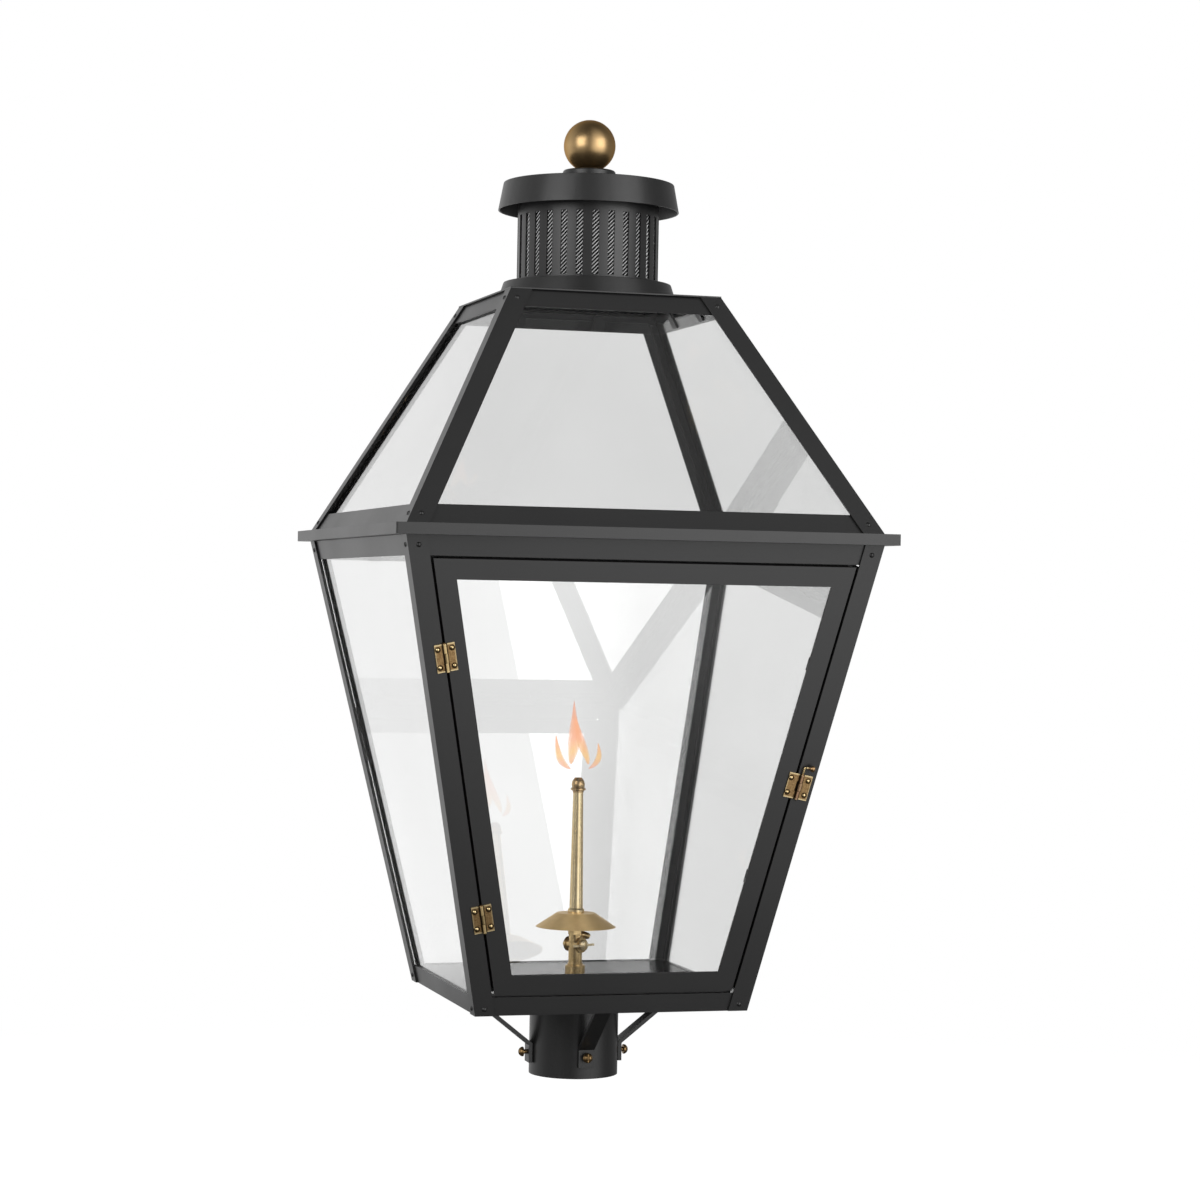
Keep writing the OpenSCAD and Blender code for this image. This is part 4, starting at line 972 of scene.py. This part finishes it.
# Flame: strands of glowing gas over the burner's tip
flame = {
    # each strand: sideways place, height and width, in mm in the view's plane, from foot to tip
    "strands": [
        [(-7.2, 287, 2.0), (-6.8, 292, 7.0), (-5.4, 300, 11.0), (-4.2, 309, 14.0), (-4.2, 318, 12.0),
         (-4.8, 328, 7.0), (-5.0, 337, 3.8), (-5.2, 347, 0.6)],
        [(9.0, 287, 2.0), (8.2, 292, 5.5), (5.6, 298, 8.5), (2.6, 306, 10.5), (-0.6, 316, 8.0),
         (-3.0, 326, 4.0), (-4.4, 335, 0.6)],
        [(-7.8, 282.5, 3.0), (-11.8, 284.5, 8.5), (-15.8, 289, 9.5), (-18.4, 295, 7.5),
         (-20.2, 303, 5.0), (-21.8, 315, 0.6)],
        [(9.5, 283, 2.0), (13.6, 285.5, 6.5), (17.4, 290, 7.5), (19.6, 297, 5.6), (17.6, 308, 0.6)],
    ],
    "sides": 12,
    "depth": 0.6,
    "rise": (0.282, 0.345),
    "tones": [  # share of the rise, and colour
        (0.0, (0.92, 0.48, 0.36)), (0.22, (0.98, 0.62, 0.26)), (0.45, (1.0, 0.48, 0.28)),
        (0.75, (1.0, 0.48, 0.28)), (1.0, (0.80, 0.42, 0.33)),
    ],
    "flickerScale": 110,
    "flicker": 0.3,
    "cover": 0.68,
    "softSides": (0.2, 1.0),
    "rounding": 2,
}


def makeFlameGlow(f):
    material, shader = newFinish("flame_glow")
    place = shader.add("TexCoord", out="Object")
    flicker = noise(shader, place, f["flickerScale"], detail=2)
    share = axisOf(shader, place, "Z").ramp(*f["rise"]) + f["flicker"] * flicker - f["flicker"] / 2
    tone = shader.add("ValToRGB", {"stops": f["tones"]}, {"Fac": share})
    core = shader.add("Attribute", {"attribute_name": "core"}, out="Fac")
    surface = shader.add("BsdfPrincipled", {}, {
        "Base Color": (0, 0, 0, 1),
        "Roughness": 1.0,
        "Specular IOR Level": 0.0,
        "Alpha": f["cover"] * core.ramp(*f["softSides"]),
        "Emission Color": tone,
        "Emission Strength": 1.0,
    })
    shader.add("OutputMaterial", {}, {"Surface": surface})
    return material


def makeFlame(f):
    across = Vector((viewWay.y, -viewWay.x, 0))
    aim = Matrix((across, viewWay * f["depth"], Vector((0, 0, 1)))).transposed().to_4x4()
    bm = bmesh.new()
    core = bm.verts.layers.float.new("core")  # strong in the middle of a strand, none at its sides
    for strand in f["strands"]:
        ring, edges = startRing(bm, f["sides"], 0.5)
        for vert in ring:
            vert[core] = abs(vert.co.y) * 2
        bmesh.ops.transform(bm, matrix=aim, verts=ring)
        centre = Vector()
        size = 1.0
        for number, (side, height, wide) in enumerate(strand):
            if number:
                ring, edges = growRing(bm, edges)
            target = (across * side + Vector((0, 0, height))) * mm
            bmesh.ops.translate(bm, vec=-centre, verts=ring)
            bmesh.ops.scale(bm, vec=Vector((1, 1, 1)) * (wide * mm / size), verts=ring)
            bmesh.ops.translate(bm, vec=target, verts=ring)
            centre = target
            size = wide * mm
        bmesh.ops.contextual_create(bm, geom=edges)
    bmesh.ops.recalc_face_normals(bm, faces=bm.faces)
    for face in bm.faces:
        face.smooth = True
    piece = addPiece("flame", bm, makeFlameGlow(f), "lantern")
    rounding = piece.modifiers.new("rounding", "SUBSURF")
    rounding.levels = rounding.render_levels = f["rounding"]
    piece.visible_shadow = False


makeFlame(flame)
print("flame lit")


# Studio: pale floor, white surroundings, two soft lamps in front and one above. Straight ahead the room
# is plain white; the levels below are for what polished metal and glossy paint mirror of it.
studio = {
    "floorDrop": 0.30,
    "floorWidth": 24.0,
    "floorSides": 64,
    "floorTone": 0.82,
    "floorUneven": 0.04,
    "grainScale": 3,
    "floorGlow": 0.36,  # lifts the floor near the lantern to white
    "floorWhite": [(0.08, 0.0), (0.20, 1.0)],  # share of the radius, and share of plain white
    "floorMirrored": [(0.04, 0.08), (0.08, 0.15), (0.12, 0.38), (0.17, 0.95)],
    "fill": 0.75,
    "sky": [(0.0, 1.0), (0.15, 1.0), (0.35, 0.75), (0.60, 0.55), (0.84, 0.22), (1.0, 0.06)],
    "brightWay": (0.454, -0.891, 0),
    "around": [(0.0, 1.00), (0.12, 0.90), (0.30, 0.42), (0.90, 0.24), (0.965, 1.65)],
    "lamps": [  # name, place, size, power, and whether metal mirrors it
        ("left_softbox", (-2.4, -1.7, 1.5), 2.0, 35, True),
        ("right_softbox", (1.7, -2.3, 1.3), 2.0, 20, True),
        ("top_softbox", (0.3, 0.6, 2.9), 1.8, 10, False),
    ],
    "aim": (0, 0, 0.45),
}


def raysSeen(shader):
    # Rays that meet no mirror on their way, and rays that a mirror or polished metal sends
    mirrored = shader.maths("MINIMUM", shader.add("LightPath", out="Glossy Depth"), 1)
    passed = shader.add("LightPath", out="Is Transmission Ray") * (1 - mirrored)
    direct = shader.add("LightPath", out="Is Camera Ray") | passed
    return direct, mirrored * rays(shader, "Glossy", "Transmission")


def roomAround(shader, way, s):
    # What polished metal shows of the room in each direction round the lantern
    flat = shader.add("VectorMath", {"operation": "MULTIPLY"}, {0: way, 1: (1, 1, 0)})
    flat = shader.add("VectorMath", {"operation": "NORMALIZE"}, {0: flat})
    facing = shader.add("VectorMath", {"operation": "DOT_PRODUCT"}, {0: flat, 1: s["brightWay"]}, out=1)
    return levels(shader, facing * 0.5 + 0.5, s["around"])


def both(shader, first, second):
    return shader.add(
        "Mix",
        {"data_type": "RGBA", "blend_type": "MULTIPLY"},
        {"Factor": 1.0, 6: first, 7: second},
        out=2,
    )


def makeFloor(s):
    material, shader = newFinish("pale_floor")
    place = objectPlace(shader)
    dark = s["floorTone"]
    pale = dark + s["floorUneven"]
    grain = noise(shader, place, s["grainScale"])
    tone = shader.tint(grain, colour(grey(dark)), colour(grey(pale)))
    plain = shader.add("BsdfDiffuse", {}, {"Color": tone})
    reach = shader.add("VectorMath", {"operation": "LENGTH"}, {0: place}, out=1)
    share = reach * (2 / s["floorWidth"])
    glow = shader.add("Emission", {}, {"Strength": s["floorGlow"]})
    white = shader.add("Emission", {}, {"Strength": 1.0})
    room = both(shader, levels(shader, share, s["floorMirrored"]), roomAround(shader, place, s))
    mirrored = shader.add("Emission", {}, {"Color": room})
    direct, reflected = raysSeen(shader)
    bright = shader.add("AddShader", {}, {0: plain, 1: glow})
    bright = shader.add("MixShader", {}, {0: levels(shader, share, s["floorWhite"]), 1: bright, 2: white})
    surface = shader.add("MixShader", {}, {0: direct, 1: plain, 2: bright})
    surface = shader.add("MixShader", {}, {0: reflected, 1: surface, 2: mirrored})
    shader.add("OutputMaterial", {}, {"Surface": surface})
    bm = bmesh.new()
    bmesh.ops.create_circle(bm, cap_ends=True, segments=s["floorSides"], radius=s["floorWidth"] / 2)
    bmesh.ops.translate(bm, vec=(0, 0, -s["floorDrop"]), verts=bm.verts)
    newObject("floor", bm, material)


def lightRoom(s):
    world = bpy.data.worlds.new("white_studio")
    bpy.context.scene.world = world
    world.use_nodes = True
    shader = Shader(world.node_tree)
    way = shader.add("TexCoord", out="Generated")
    dome = levels(shader, axisOf(shader, way, "Z"), s["sky"])
    mirrored = both(shader, dome, roomAround(shader, way, s))
    direct, reflected = raysSeen(shader)
    seen = shader.tint(direct, mirrored, (1, 1, 1, 1))
    show = shader.add("Background", {}, {"Color": seen, "Strength": 1.0})
    light = shader.add("Background", {}, {"Color": (1, 1, 1, 1), "Strength": s["fill"]})
    surface = shader.add("MixShader", {}, {0: direct | reflected, 1: light, 2: show})
    shader.add("OutputWorld", {}, {"Surface": surface})
    for name, place, size, power, isMirrored in s["lamps"]:
        data = bpy.data.lights.new(name, "AREA")
        data.shape = "SQUARE"
        data.size = size
        data.energy = power
        box = bpy.data.objects.new(name, data)
        turn = (Vector(place) - Vector(s["aim"])).to_track_quat("Z", "Y")
        box.matrix_world = Matrix.Translation(place) @ turn.to_matrix().to_4x4()
        box.visible_camera = False
        box.visible_glossy = isMirrored
        bpy.context.scene.collection.objects.link(box)


makeFloor(studio)
lightRoom(studio)
bpy.context.scene.view_settings.view_transform = "Standard"
print("studio set")
